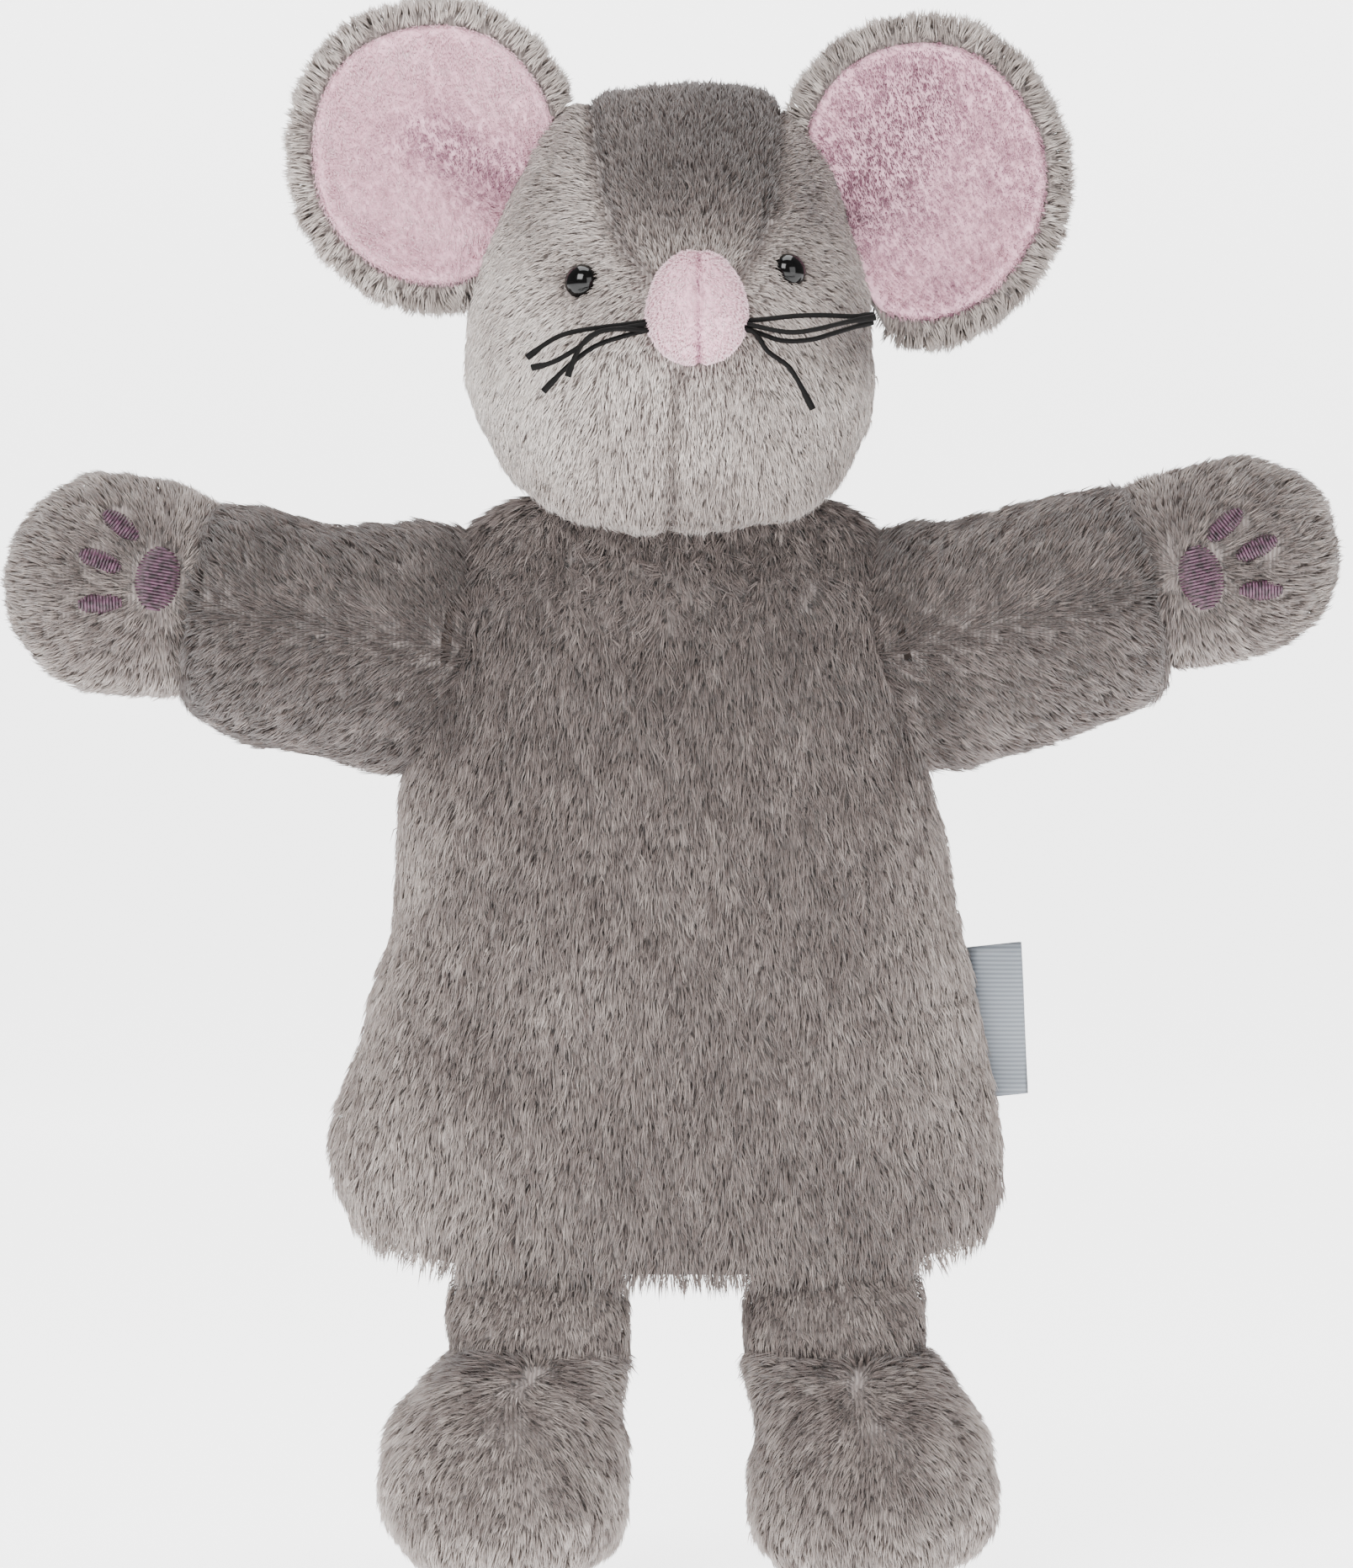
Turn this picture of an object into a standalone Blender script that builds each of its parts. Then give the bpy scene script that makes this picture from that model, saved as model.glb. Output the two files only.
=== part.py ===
"""A plush mouse glove puppet: a hollow body for the hand, a stuffed head with a finger
pocket, open sleeves for thumb and little finger, stuffed paws, and dangling stuffed legs.

Metres, +Z up. The mouse faces -Y, and its right-hand picture side is +X.
The origin is the centre of the hand opening at the hem.
"""

import math

import bmesh
import bpy
from mathutils import Matrix, Vector

# ---------------------------------------------------------------- driving dimensions

GAP = 0.0003  # clearance between two pieces that touch
FILL_GAP = 0.0006  # clearance between wadding and the cloth round it
FAR = 0.0900  # past every edge, for cutters
PLUSH = 0.0040  # knitted backing and the pile that lies on it
VELOUR = 0.0016
LINING_CLOTH = 0.0010

BODY_LENGTH = 0.1510  # hem to neck edge
HEM_HALF_WIDTH = 0.0680
WAIST_HALF_WIDTH = 0.0585
CHEST_HALF_WIDTH = 0.0475
BODY_HALF_DEPTH = 0.0250
NECK_HALF_WIDTH = 0.0270
NECK_HALF_DEPTH = 0.0185
HEM_CORNER_RISE = 0.0080
LINING_FROM, LINING_TO = 0.02, 0.94  # shares of the body's height

NECK_RISE = 0.0030  # neck edge to the neck's pivot
COLLAR_RING_RADIUS = 0.0190
HEAD_RING_RADIUS = 0.0148
SEAM_RADIUS = 0.0013  # half the thickness of a bound seam allowance

HEAD_HALF_WIDTH = 0.0425
HEAD_HEIGHT = 0.0885  # chin to crown
HEAD_SQUARENESS = 2.15
HEAD_FRONT = 0.0420  # neck axis to the muzzle
HEAD_BACK = 0.0350  # neck axis to the nape
CHIN_DROP = 0.0002  # the chin hangs this far below the neck's pivot
NECK_RECESS_RADIUS = 0.0245
NECK_RECESS_HEIGHT = 0.0125
GUSSET_TIP = 0.0040  # half width at the nose
GUSSET_BROW = (-0.0130, 0.0172)  # its two seams over the eyes
GUSSET_CROWN = (-0.0170, 0.0212)
GUSSET_NAPE = (-0.0150, 0.0190)
GUSSET_NECK = (-0.0110, 0.0150)
BROW_RISE = 0.0200  # nose to brow

FINGER_BORE = 0.0096  # room for a finger
FINGER_CLOTH = 0.0014
FINGER_DEPTH = 0.0520
FINGER_SHOULDER = 0.0060  # the pocket's rounded end
FINGER_EASE = 0.0008
FINGER_FOOT = 0.0010

NOSE_SIZE = (0.0102, 0.0085, 0.0115)  # half width, half depth, half height
NOSE_ACROSS = 0.0043
NOSE_HEIGHT = 0.0394  # above the neck's pivot
EYES = {"left": (-0.0187, 0.0454), "right": (0.0228, 0.0480)}  # across, above the pivot
EYE_RADIUS = 0.0040
EYE_DOME = 0.0030
EYE_RIM = 0.0006
EYE_SHANK = 0.0014
EYE_SHANK_LENGTH = 0.0100
WASHER_RADIUS = 0.0060
WASHER_THICKNESS = 0.0012
WASHER_SET_BACK = 0.0024  # the panel curves in under the washer
WHISKER_DIAMETER = 0.0010
WHISKER_CHANNEL = 0.0023
WHISKER_CHANNEL_DROP = (0, -0.0009, -0.0034)  # from the nose's centre

EAR_RADIUS = 0.0280
EAR_FRONT_RADIUS = 0.0235
EAR_BACK_THICKNESS = 0.0050
EAR_FRONT_THICKNESS = 0.0018
EAR_CLEARANCE = 0.0057  # from the ear's fold line to its cut edge
EAR_SET_FORWARD = 0.0010

SHOULDER_DROP = 0.0220  # neck edge to the armhole's centre
SHOULDER_INSET = 0.0010  # chest side to the armhole's centre
SHOULDER_RADIUS = 0.0220
SHOULDER_BALL = 38.0  # degrees of the sleeve's round root
ARMHOLE_RING_RADIUS = 0.0148
SLEEVE_HALF_HEIGHT = 0.0250
SLEEVE_HALF_DEPTH = 0.0200
SLEEVE_LENGTH = 0.0480
WRIST_GAP = 0.0010  # sleeve end to the wrist's pivot, and on to the paw
WRIST_HALF_HEIGHT = 0.0210
WRIST_HALF_DEPTH = 0.0165
PAW_HALF_HEIGHT = 0.0220
PAW_HALF_DEPTH = 0.0170
PAW_TIP = 0.0435  # wrist's pivot to the paw's tip
ARM_SWEEP = 45.0  # degrees of room for each arm, every way
ARM_ROOM = 0.0600  # how far out that room goes
PAD_THICKNESS = 0.0009

HIP_DROP = 0.0010  # hem to the hip's pivot
LEG_HALF_WIDTH = 0.0190
LEG_HALF_DEPTH = 0.0165
LEG_LENGTH = 0.0150  # hem to ankle
LEG_SEAM_HALF_DEPTH = 0.0026
ANKLE_GAP = 0.0010
LEG_SET_FORWARD = 0.0130  # the legs are sewn to the front of the hem
FOOT_HALF_WIDTH = 0.0255
FOOT_HEIGHT = 0.0445  # sole to ankle
FOOT_TOE = 0.0340  # ankle's pivot to the toe
FOOT_HEEL = 0.0230
SOLE_HEIGHT = 0.0080

LABEL_THICKNESS = 0.0008
LABEL_LENGTH = 0.0300
LABEL_HEIGHT = 0.0345  # hem to the label's lower end
LABEL_WIDTH = 0.0075
LABEL_LEAN = 0.0012

SIDES = {
    "left": {
        "sign": -1,
        "arm_angle": 9.3,
        "arm_reach": 0.0000,
        "ear": (-0.0500, 0.2270),
        "leg": -0.0278,
        "foot": -0.0066,
    },
    "right": {
        "sign": 1,
        "arm_angle": 13.7,
        "arm_reach": -0.0025,
        "ear": (0.0490, 0.2210),
        "leg": 0.0323,
        "foot": 0.0076,
    },
}

# Embroidered pads: distance from the shoulder, height over the arm's axis,
# half length, half height, turn in degrees.
PADS = {
    "left": {
        "palm_pad": (0.0596, 0.0020, 0.0043, 0.0065, 0),
        "toe_pad_1": (0.0689, 0.0116, 0.0045, 0.0019, 28),
        "toe_pad_2": (0.0717, 0.0037, 0.0045, 0.0019, 12),
        "toe_pad_3": (0.0703, -0.0048, 0.0045, 0.0019, -12),
    },
    "right": {
        "palm_pad": (0.0612, -0.0027, 0.0043, 0.0065, 0),
        "toe_pad_1": (0.0684, 0.0065, 0.0045, 0.0019, 28),
        "toe_pad_2": (0.0735, 0.0004, 0.0045, 0.0019, 12),
        "toe_pad_3": (0.0725, -0.0081, 0.0045, 0.0019, -12),
    },
}

# Whiskers, from the hidden end behind the nose to the cut tip: right, forward and up
# from the nose's centre, in millimetres.
WHISKERS = {
    "whisker_left_1": [
        (-0.5, 0.2, -2.7), (-5, 0.2, -2.7), (-9.6, 0.3, -2.8), (-15.4, 0.8, -3.6),
        (-22.2, 1.2, -4.5), (-26.8, 1.2, -5.6), (-30.2, 0.8, -7.4), (-33.7, 0.2, -10.0),
    ],
    "whisker_left_2": [
        (-0.5, 1.6, -2.7), (-5, 1.6, -2.7), (-9.6, 1.7, -3.4), (-14.2, 2.2, -4.2),
        (-19.4, 2.8, -5.1), (-23.6, 2.8, -8.2), (-28.5, 2.2, -11.0), (-32.8, 1.6, -12.1),
    ],
    "whisker_left_3": [
        (-0.5, 0.2, -4.1), (-5, 0.2, -4.1), (-10.4, 0.2, -4.7), (-15.4, 0.6, -6.0),
        (-19.9, 0.8, -7.6), (-23.4, 0.7, -9.9), (-26.8, 0.4, -12.8), (-30.5, 0.0, -16.7),
    ],
    "whisker_left_4": [
        (-0.5, 1.6, -4.1), (-5, 1.6, -4.1), (-10.2, 1.9, -4.6), (-16.5, 4.0, -4.6),
        (-21.1, 4.9, -6.0), (-23.9, 4.9, -9.6), (-25.6, 4.5, -14.0),
    ],
    "whisker_right_1": [
        (0.5, 0.2, -2.7), (5, 0.2, -2.7), (10.4, 0.3, -2.6), (14.4, 0.6, -2.3),
        (19.0, 0.8, -1.8), (24.7, 0.6, -1.6), (30.5, 0.0, -1.8), (35.1, -0.8, -1.5),
    ],
    "whisker_right_2": [
        (0.5, 1.6, -2.7), (5, 1.6, -2.7), (10.4, 1.7, -3.6), (17.9, 2.3, -5.1),
        (23.6, 2.4, -4.5), (29.3, 1.7, -3.1), (35.3, 0.8, -2.0),
    ],
    "whisker_right_3": [
        (0.5, 0.2, -4.1), (5, 0.2, -4.1), (10.8, 0.2, -4.7), (16.7, 0.2, -6.6),
        (22.5, 0.0, -6.4), (27.0, -0.6, -5.1), (30.5, -1.4, -4.0), (34.9, -2.4, -2.7),
    ],
    "whisker_right_4": [
        (0.5, 1.6, -4.1), (5, 1.6, -4.1), (10.8, 1.7, -4.7), (13.9, 2.0, -8.8),
        (17.9, 1.6, -11.7), (20.2, 1.0, -15.1), (22.9, 0.2, -20.2),
    ],
}

# ---------------------------------------------------------------- scene and small tools

for old in list(bpy.data.objects):
    bpy.data.objects.remove(old)

parts = bpy.data.collections.new("mouse_glove_puppet")
guides = bpy.data.collections.new("cutters")
bpy.context.scene.collection.children.link(parts)
bpy.context.scene.collection.children.link(guides)


def finish(name, colour, roughness, metallic=0.0):
    """A plain Principled material."""
    made = bpy.data.materials.new(name)
    made.use_nodes = True
    shader = made.node_tree.nodes["Principled BSDF"]
    shader.inputs["Base Color"].default_value = (*colour, 1.0)
    shader.inputs["Roughness"].default_value = roughness
    shader.inputs["Metallic"].default_value = metallic
    return made


TAUPE = finish("taupe_plush", (0.31, 0.27, 0.24), 0.95)
PALE = finish("pale_plush", (0.47, 0.42, 0.37), 0.95)
PINK = finish("pink_velour", (0.78, 0.55, 0.60), 0.9)
NOSE_PINK = finish("nose_velour", (0.84, 0.64, 0.68), 0.9)
COTTON = finish("cotton_lining", (0.62, 0.59, 0.55), 0.9)
TAPE = finish("bound_seam", (0.36, 0.32, 0.29), 0.9)
WADDING = finish("polyester_wadding", (0.85, 0.85, 0.83), 1.0)
BLACK = finish("black_eye_plastic", (0.01, 0.01, 0.01), 0.1)
THREAD = finish("black_waxed_thread", (0.02, 0.02, 0.02), 0.5)
MAUVE = finish("mauve_satin_thread", (0.30, 0.13, 0.19), 0.4)
RIBBON = finish("woven_ribbon", (0.45, 0.47, 0.50), 0.6)


def pivot(name, place, parent=None, turn=None):
    """An empty on a joint's axis, which carries the pieces that move about it."""
    empty = bpy.data.objects.new(name, None)
    empty.empty_display_size = 0.01
    guides.objects.link(empty)
    matrix = Matrix.Translation(place)
    if turn:
        matrix = matrix @ turn
    if parent:
        empty.parent = parent
    empty.matrix_world = matrix
    bpy.context.view_layer.update()
    return empty


def add(name, mesh, parent, material=None):
    """Puts a mesh under its pivot: a part if it has a material, and else a cutter."""
    piece = bpy.data.objects.new(name, mesh)
    if material:
        parts.objects.link(piece)
        mesh.materials.append(material)
        for face in mesh.polygons:
            face.use_smooth = True
        mesh.set_sharp_from_angle(angle=math.radians(50))
    else:
        guides.objects.link(piece)
        piece.hide_render = True
        piece.display_type = "WIRE"
    piece.parent = parent
    return piece


def boolean(piece, cutter, operation="DIFFERENCE"):
    """Cuts a piece with a guide, or keeps only what is inside it."""
    cut = piece.modifiers.new(cutter.name, "BOOLEAN")
    cut.operation = operation
    cut.solver = "EXACT"
    cut.object = cutter
    return piece


def smooth_rows(stations, steps):
    """Catmull-Rom rows between stations, each a tuple of sizes."""
    rows = []
    for i in range(len(stations) - 1):
        before = stations[max(i - 1, 0)]
        start, end = stations[i], stations[i + 1]
        after = stations[min(i + 2, len(stations) - 1)]
        for step in range(steps):
            t = step / steps
            rows.append(tuple(
                0.5 * (2 * b + (c - a) * t + (2 * a - 5 * b + 4 * c - d) * t**2
                       + (3 * b - a - 3 * c + d) * t**3)
                for a, b, c, d in zip(before, start, end, after)
            ))
    rows.append(stations[-1])
    return rows


def section(half_width, front, back, squareness, count, half=None):
    """A rounded outline as (across, depth) pairs: whole, or its front or back half."""
    start, sweep, points = 0.0, 2 * math.pi, count
    if half:
        start = math.pi if half == "front" else 0.0
        sweep, points = math.pi, count // 2 + 1
    power = 2 / squareness
    pairs = []
    for i in range(points):
        angle = start + sweep * i / (count if not half else count // 2)
        c, s = math.cos(angle), math.sin(angle)
        across = math.copysign(abs(c) ** power, c) * half_width
        depth = math.copysign(abs(s) ** power, s) * (back if s > 0 else front)
        if half == "front":
            depth = min(depth, -GAP / 2)
        if half == "back":
            depth = max(depth, GAP / 2)
        pairs.append((across, depth))
    return pairs


def closed(name, bm):
    """A closed mesh from a bmesh: poles welded, and every face turned outwards."""
    bmesh.ops.remove_doubles(bm, verts=bm.verts, dist=1e-6)
    bmesh.ops.dissolve_degenerate(bm, edges=bm.edges, dist=1e-6)
    bmesh.ops.recalc_face_normals(bm, faces=bm.faces)
    mesh = bpy.data.meshes.new(name)
    bm.to_mesh(mesh)
    bm.free()
    return mesh


def solid_loft(name, rows):
    """A closed solid over rows of points, flat at both ends."""
    bm = bmesh.new()
    lines = [[bm.verts.new(p) for p in row] for row in rows]
    count = len(rows[0])
    for low, high in zip(lines, lines[1:]):
        for i in range(count):
            j = (i + 1) % count
            bm.faces.new((low[i], low[j], high[j], high[i]))
    bm.faces.new(lines[0])
    bm.faces.new(lines[-1])
    return closed(name, bm)


def shell_loft(name, outer, inner, whole=False):
    """A wall of cloth between two skins: a whole tube, or one panel with four edges."""
    bm = bmesh.new()
    skins = [[[bm.verts.new(p) for p in row] for row in rows] for rows in (outer, inner)]
    count = len(outer[0])
    steps = count if whole else count - 1
    for skin in skins:
        for low, high in zip(skin, skin[1:]):
            for i in range(steps):
                j = (i + 1) % count
                bm.faces.new((low[i], low[j], high[j], high[i]))
    face, back = skins
    for end in (0, -1):
        for i in range(steps):
            j = (i + 1) % count
            bm.faces.new((face[end][i], face[end][j], back[end][j], back[end][i]))
    if not whole:
        for edge in (0, -1):
            for k in range(len(face) - 1):
                bm.faces.new((face[k][edge], face[k + 1][edge], back[k + 1][edge], back[k][edge]))
    return closed(name, bm)


def upright(rows, count, squareness, inset=0.0, half=None):
    """Rows of points for sections stacked along Z: (z, half width, front, back, x)."""
    made = []
    for z, width, front, back, x in rows:
        outline = section(width - inset, front - inset, back - inset, squareness, count, half)
        made.append([Vector((x + a, d, z)) for a, d in outline])
    return made


def along_arm(rows, count, inset=0.0, half=None):
    """Rows of points for sections along +X: (distance, half height, half depth)."""
    made = []
    for s, height, depth in rows:
        outline = section(height - inset, depth - inset, depth - inset, 2.0, count, half)
        made.append([Vector((s, d, a)) for a, d in outline])
    return made


def solid(maker, **places):
    """A mesh from one of bmesh's own shapes."""
    bm = bmesh.new()
    maker(bm, **places)
    mesh = bpy.data.meshes.new("solid")
    bm.to_mesh(mesh)
    bm.free()
    return mesh


def round_bar(radius, length, centre=0.0, sides=20):
    """A cylinder along Z."""
    return solid(
        bmesh.ops.create_cone, cap_ends=True, segments=sides, radius1=radius, radius2=radius,
        depth=length, matrix=Matrix.Translation((0, 0, centre)),
    )


def block(low, high):
    """A box between two corners."""
    low, high = Vector(low), Vector(high)
    size = Matrix.Diagonal((*(high - low), 1))
    return solid(bmesh.ops.create_cube, matrix=Matrix.Translation((low + high) / 2) @ size)


def turned(name, profile, sides, parent, material=None):
    """A profile of (radius, height) pairs, top to bottom, turned about Z."""
    mesh = bpy.data.meshes.new(name)
    mesh.from_pydata([(r, 0, z) for r, z in profile], [
        (i, i + 1) for i in range(len(profile) - 1)
    ], [])
    piece = add(name, mesh, parent, material)
    turn = piece.modifiers.new("turn", "SCREW")
    turn.steps = sides
    turn.render_steps = sides
    turn.use_merge_vertices = True
    turn.merge_threshold = 0.00001
    return piece


def ring(name, radius, parent, turn=None):
    """A bound seam allowance: a soft roll of folded cloth round an opening."""
    bm = bmesh.new()
    steps, sides = 20, 5
    loops = []
    for i in range(steps):
        around = 2 * math.pi * i / steps
        out = Vector((math.cos(around), math.sin(around), 0))
        loops.append([
            bm.verts.new(out * (radius + SEAM_RADIUS * math.cos(t))
                         + Vector((0, 0, SEAM_RADIUS * math.sin(t))))
            for t in (2 * math.pi * j / sides for j in range(sides))
        ])
    for this, following in zip(loops, loops[1:] + loops[:1]):
        for j in range(sides):
            k = (j + 1) % sides
            bm.faces.new((this[j], this[k], following[k], following[j]))
    mesh = closed(name, bm)
    if turn:
        mesh.transform(turn)
    return add(name, mesh, parent, TAPE)


# ---------------------------------------------------------------- body and lining

body_rows = smooth_rows([
    (0.000 * BODY_LENGTH, 0.930 * HEM_HALF_WIDTH, 0.90 * BODY_HALF_DEPTH),
    (0.110 * BODY_LENGTH, 1.000 * HEM_HALF_WIDTH, 0.96 * BODY_HALF_DEPTH),
    (0.300 * BODY_LENGTH, 0.940 * HEM_HALF_WIDTH, 1.00 * BODY_HALF_DEPTH),
    (0.500 * BODY_LENGTH, 1.000 * WAIST_HALF_WIDTH, 1.00 * BODY_HALF_DEPTH),
    (0.680 * BODY_LENGTH, 0.930 * WAIST_HALF_WIDTH, 0.95 * BODY_HALF_DEPTH),
    (0.840 * BODY_LENGTH, 1.000 * CHEST_HALF_WIDTH, 0.88 * BODY_HALF_DEPTH),
    (0.930 * BODY_LENGTH, 0.910 * CHEST_HALF_WIDTH, 0.82 * BODY_HALF_DEPTH),
    (0.980 * BODY_LENGTH, 0.5 * (CHEST_HALF_WIDTH + NECK_HALF_WIDTH), 0.78 * BODY_HALF_DEPTH),
    (1.000 * BODY_LENGTH, NECK_HALF_WIDTH, NECK_HALF_DEPTH),
], 1)


def body_skin(inset, half=None, low=0.0, high=1.0):
    """The body's outline, drawn in by an inset, between two shares of its height."""
    rows = []
    for z, width, depth in body_rows:
        if not low <= z / BODY_LENGTH <= high:
            continue
        points = []
        for across, y in section(width - inset, depth - inset, depth - inset, 2.3, 28, half):
            corner = (abs(across) / HEM_HALF_WIDTH) ** 4
            lift = HEM_CORNER_RISE * corner * max(0.0, 1 - z / (0.3 * BODY_LENGTH))
            points.append(Vector((across, y, z + lift)))
        rows.append(points)
    return rows


# ---------------------------------------------------------------- armholes

shoulder_height = BODY_LENGTH - SHOULDER_DROP
shoulders = {}
armhole_cutters = []
for side, at in SIDES.items():
    sign = at["sign"]
    angle = math.radians(at["arm_angle"])
    heading = math.pi + angle if sign < 0 else -angle
    turn = Matrix.Rotation(heading, 4, "Y")
    place = Vector((sign * (CHEST_HALF_WIDTH - SHOULDER_INSET), 0, shoulder_height))
    shoulders[side] = pivot(side + "_shoulder", place, turn=turn)
    # Room for the ball of the sleeve, and for the arm at the ends of its swing.
    sweep = math.radians(ARM_SWEEP)
    ball = SHOULDER_RADIUS + 2 * GAP
    profile = [(-ball * math.cos(a), max(ball * math.sin(a), GAP / 3)) for a in
               ((math.pi / 2 - sweep) * i / 6 for i in range(7))]
    start, radius = profile[-1]
    profile.append((ARM_ROOM, radius + (ARM_ROOM - start) * math.tan(sweep)))
    rows = [
        [Vector((x, r * math.cos(t), r * math.sin(t)))
         for t in (2 * math.pi * i / 24 for i in range(24))]
        for x, r in profile
    ]
    cutter = add(side + "_armhole_room", solid_loft("room", rows), shoulders[side])
    armhole_cutters.append(cutter)

for name, half in (("body_front_panel", "front"), ("body_back_panel", "back")):
    panel = add(name, shell_loft(name, body_skin(0, half), body_skin(PLUSH, half)), None, TAUPE)
    for cutter in armhole_cutters:
        boolean(panel, cutter)

lining_face = body_skin(PLUSH + GAP, low=LINING_FROM, high=LINING_TO)
lining_back = body_skin(PLUSH + GAP + LINING_CLOTH, low=LINING_FROM, high=LINING_TO)
lining = add("lining", shell_loft("lining", lining_face, lining_back, whole=True), None, COTTON)
for cutter in armhole_cutters:
    boolean(lining, cutter)


# ---------------------------------------------------------------- side label

def side_of_body(z):
    """The body's half width at a height."""
    for low, high in zip(body_rows, body_rows[1:]):
        if low[0] <= z <= high[0]:
            share = (z - low[0]) / (high[0] - low[0])
            return low[1] + share * (high[1] - low[1])
    return body_rows[-1][1]


label_top = LABEL_HEIGHT + LABEL_LENGTH
corners = []
for z, out in ((LABEL_HEIGHT, 0), (LABEL_HEIGHT, 1), (label_top, 1), (label_top, 0)):
    corners.append((side_of_body(z) + 2 * GAP + out * LABEL_WIDTH, z + out * LABEL_LEAN))
label_rows = [[Vector((x, y, z)) for x, z in corners]
              for y in (-LABEL_THICKNESS / 2, LABEL_THICKNESS / 2)]
add("woven_label", solid_loft("woven_label", label_rows), None, RIBBON)

# ---------------------------------------------------------------- neck

neck = pivot("neck", Vector((0, 0, BODY_LENGTH + NECK_RISE)))
ring("collar_seam_ring", COLLAR_RING_RADIUS, neck)
ring("head_seam_ring", HEAD_RING_RADIUS, neck)

# ---------------------------------------------------------------- head

head_rows = smooth_rows([
    (0.000 * HEAD_HEIGHT, 0.26 * HEAD_HALF_WIDTH, 0.84 * HEAD_FRONT, -0.62 * HEAD_FRONT, 0),
    (0.060 * HEAD_HEIGHT, 0.54 * HEAD_HALF_WIDTH, 0.92 * HEAD_FRONT, -0.36 * HEAD_FRONT, 0),
    (0.125 * HEAD_HEIGHT, 0.72 * HEAD_HALF_WIDTH, 0.96 * HEAD_FRONT, 0.70 * HEAD_BACK, 0),
    (0.190 * HEAD_HEIGHT, 0.84 * HEAD_HALF_WIDTH, 0.98 * HEAD_FRONT, 0.85 * HEAD_BACK, 0),
    (0.290 * HEAD_HEIGHT, 0.95 * HEAD_HALF_WIDTH, 1.00 * HEAD_FRONT, 0.94 * HEAD_BACK, 0),
    (0.410 * HEAD_HEIGHT, 1.00 * HEAD_HALF_WIDTH, 1.00 * HEAD_FRONT, 0.98 * HEAD_BACK, 0),
    (0.540 * HEAD_HEIGHT, 0.965 * HEAD_HALF_WIDTH, 0.94 * HEAD_FRONT, 1.00 * HEAD_BACK, 0),
    (0.690 * HEAD_HEIGHT, 0.84 * HEAD_HALF_WIDTH, 0.78 * HEAD_FRONT, 0.94 * HEAD_BACK, 0),
    (0.840 * HEAD_HEIGHT, 0.68 * HEAD_HALF_WIDTH, 0.58 * HEAD_FRONT, 0.78 * HEAD_BACK, 0),
    (0.950 * HEAD_HEIGHT, 0.50 * HEAD_HALF_WIDTH, 0.38 * HEAD_FRONT, 0.54 * HEAD_BACK, 0),
    (1.000 * HEAD_HEIGHT, 0.26 * HEAD_HALF_WIDTH, 0.18 * HEAD_FRONT, 0.26 * HEAD_BACK, 0),
], 1)


def head_section(row, inset):
    """One level of the head: the chin's levels hang in front of the neck."""
    z, width, front, back, x = row
    middle = (back - front) / 2
    half_depth = (back + front) / 2 - inset
    outline = section(width - inset, half_depth, half_depth, HEAD_SQUARENESS, 24)
    return [Vector((x + a, middle + d, z - CHIN_DROP)) for a, d in outline]


def head_skin(inset):
    """The head's closed outline, drawn in by an inset on every side."""
    rows = []
    for row in head_rows:
        squeeze = (HEAD_HEIGHT - 2 * inset) / HEAD_HEIGHT
        rows.append(head_section((inset + row[0] * squeeze, *row[1:]), inset))
    return rows


def gusset_room(name, extra):
    """The strip over the crown, from the nose to the nape, with some room round it."""
    brow = NOSE_HEIGHT + BROW_RISE
    side = extra * 1.6
    top = HEAD_HEIGHT + 0.3 * FAR
    tip = (NOSE_ACROSS - GUSSET_TIP, NOSE_ACROSS + GUSSET_TIP)

    def outline(low, low_height, middle):
        """Its two seams seen from the front, from a low pair to a middle one to the crown."""
        return [
            (low[0] - side, low_height), (middle[0] - side, brow), (GUSSET_CROWN[0] - side, top),
            (GUSSET_CROWN[1] + side, top), (middle[1] + side, brow), (low[1] + side, low_height),
        ]

    front = outline(tip, NOSE_HEIGHT - extra, GUSSET_BROW)
    back = outline(GUSSET_NECK, -0.3 * FAR, GUSSET_NAPE)
    levels = ((-FAR, front), (-0.004 - 2 * extra, front), (0.004, back), (FAR, back))
    rows = [[Vector((x, y, z)) for x, z in points] for y, points in levels]
    return add(name, solid_loft(name, rows), neck)


head_inside = add("head_inside", solid_loft("inside", head_skin(PLUSH)), neck)
gusset_strip = gusset_room("gusset_strip", 0)
gusset_and_gap = gusset_room("gusset_and_gap", GAP)
neck_opening = add("neck_opening", round_bar(
    NECK_RECESS_RADIUS, 4 * NECK_RECESS_HEIGHT, -0.001, 20), neck)
left_half = add("left_half", block((-FAR, -FAR, -FAR), (GAP / 2, FAR, 2 * FAR)), neck)
right_half = add("right_half", block((-GAP / 2, -FAR, -FAR), (FAR, FAR, 2 * FAR)), neck)


def head_front(x, height):
    """A point of the muzzle and face at a place across and up, and its outward way."""
    def depth(u, z):
        level = z + CHIN_DROP
        for low, high in zip(head_rows, head_rows[1:]):
            if low[0] <= level <= high[0]:
                t = (level - low[0]) / (high[0] - low[0])
                _, width, front, back, _ = (a + t * (b - a) for a, b in zip(low, high))
                share = min(abs(u) / width, 1) ** HEAD_SQUARENESS
                reach = (1 - share) ** (1 / HEAD_SQUARENESS)
                return (back - front) / 2 - (back + front) / 2 * reach
        return 0.0
    step = 0.001
    slope_x = (depth(x + step, height) - depth(x - step, height)) / (2 * step)
    slope_z = (depth(x, height + step) - depth(x, height - step)) / (2 * step)
    return Vector((x, depth(x, height), height)), Vector((slope_x, -1, slope_z)).normalized()


eye_frames = {}
for side, (x, height) in EYES.items():
    place, way = head_front(x, height)
    turn = way.to_track_quat("Z", "Y").to_matrix().to_4x4()
    eye_frames[side] = pivot(side + "_eye_place", neck.matrix_world @ place, turn=turn)

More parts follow.
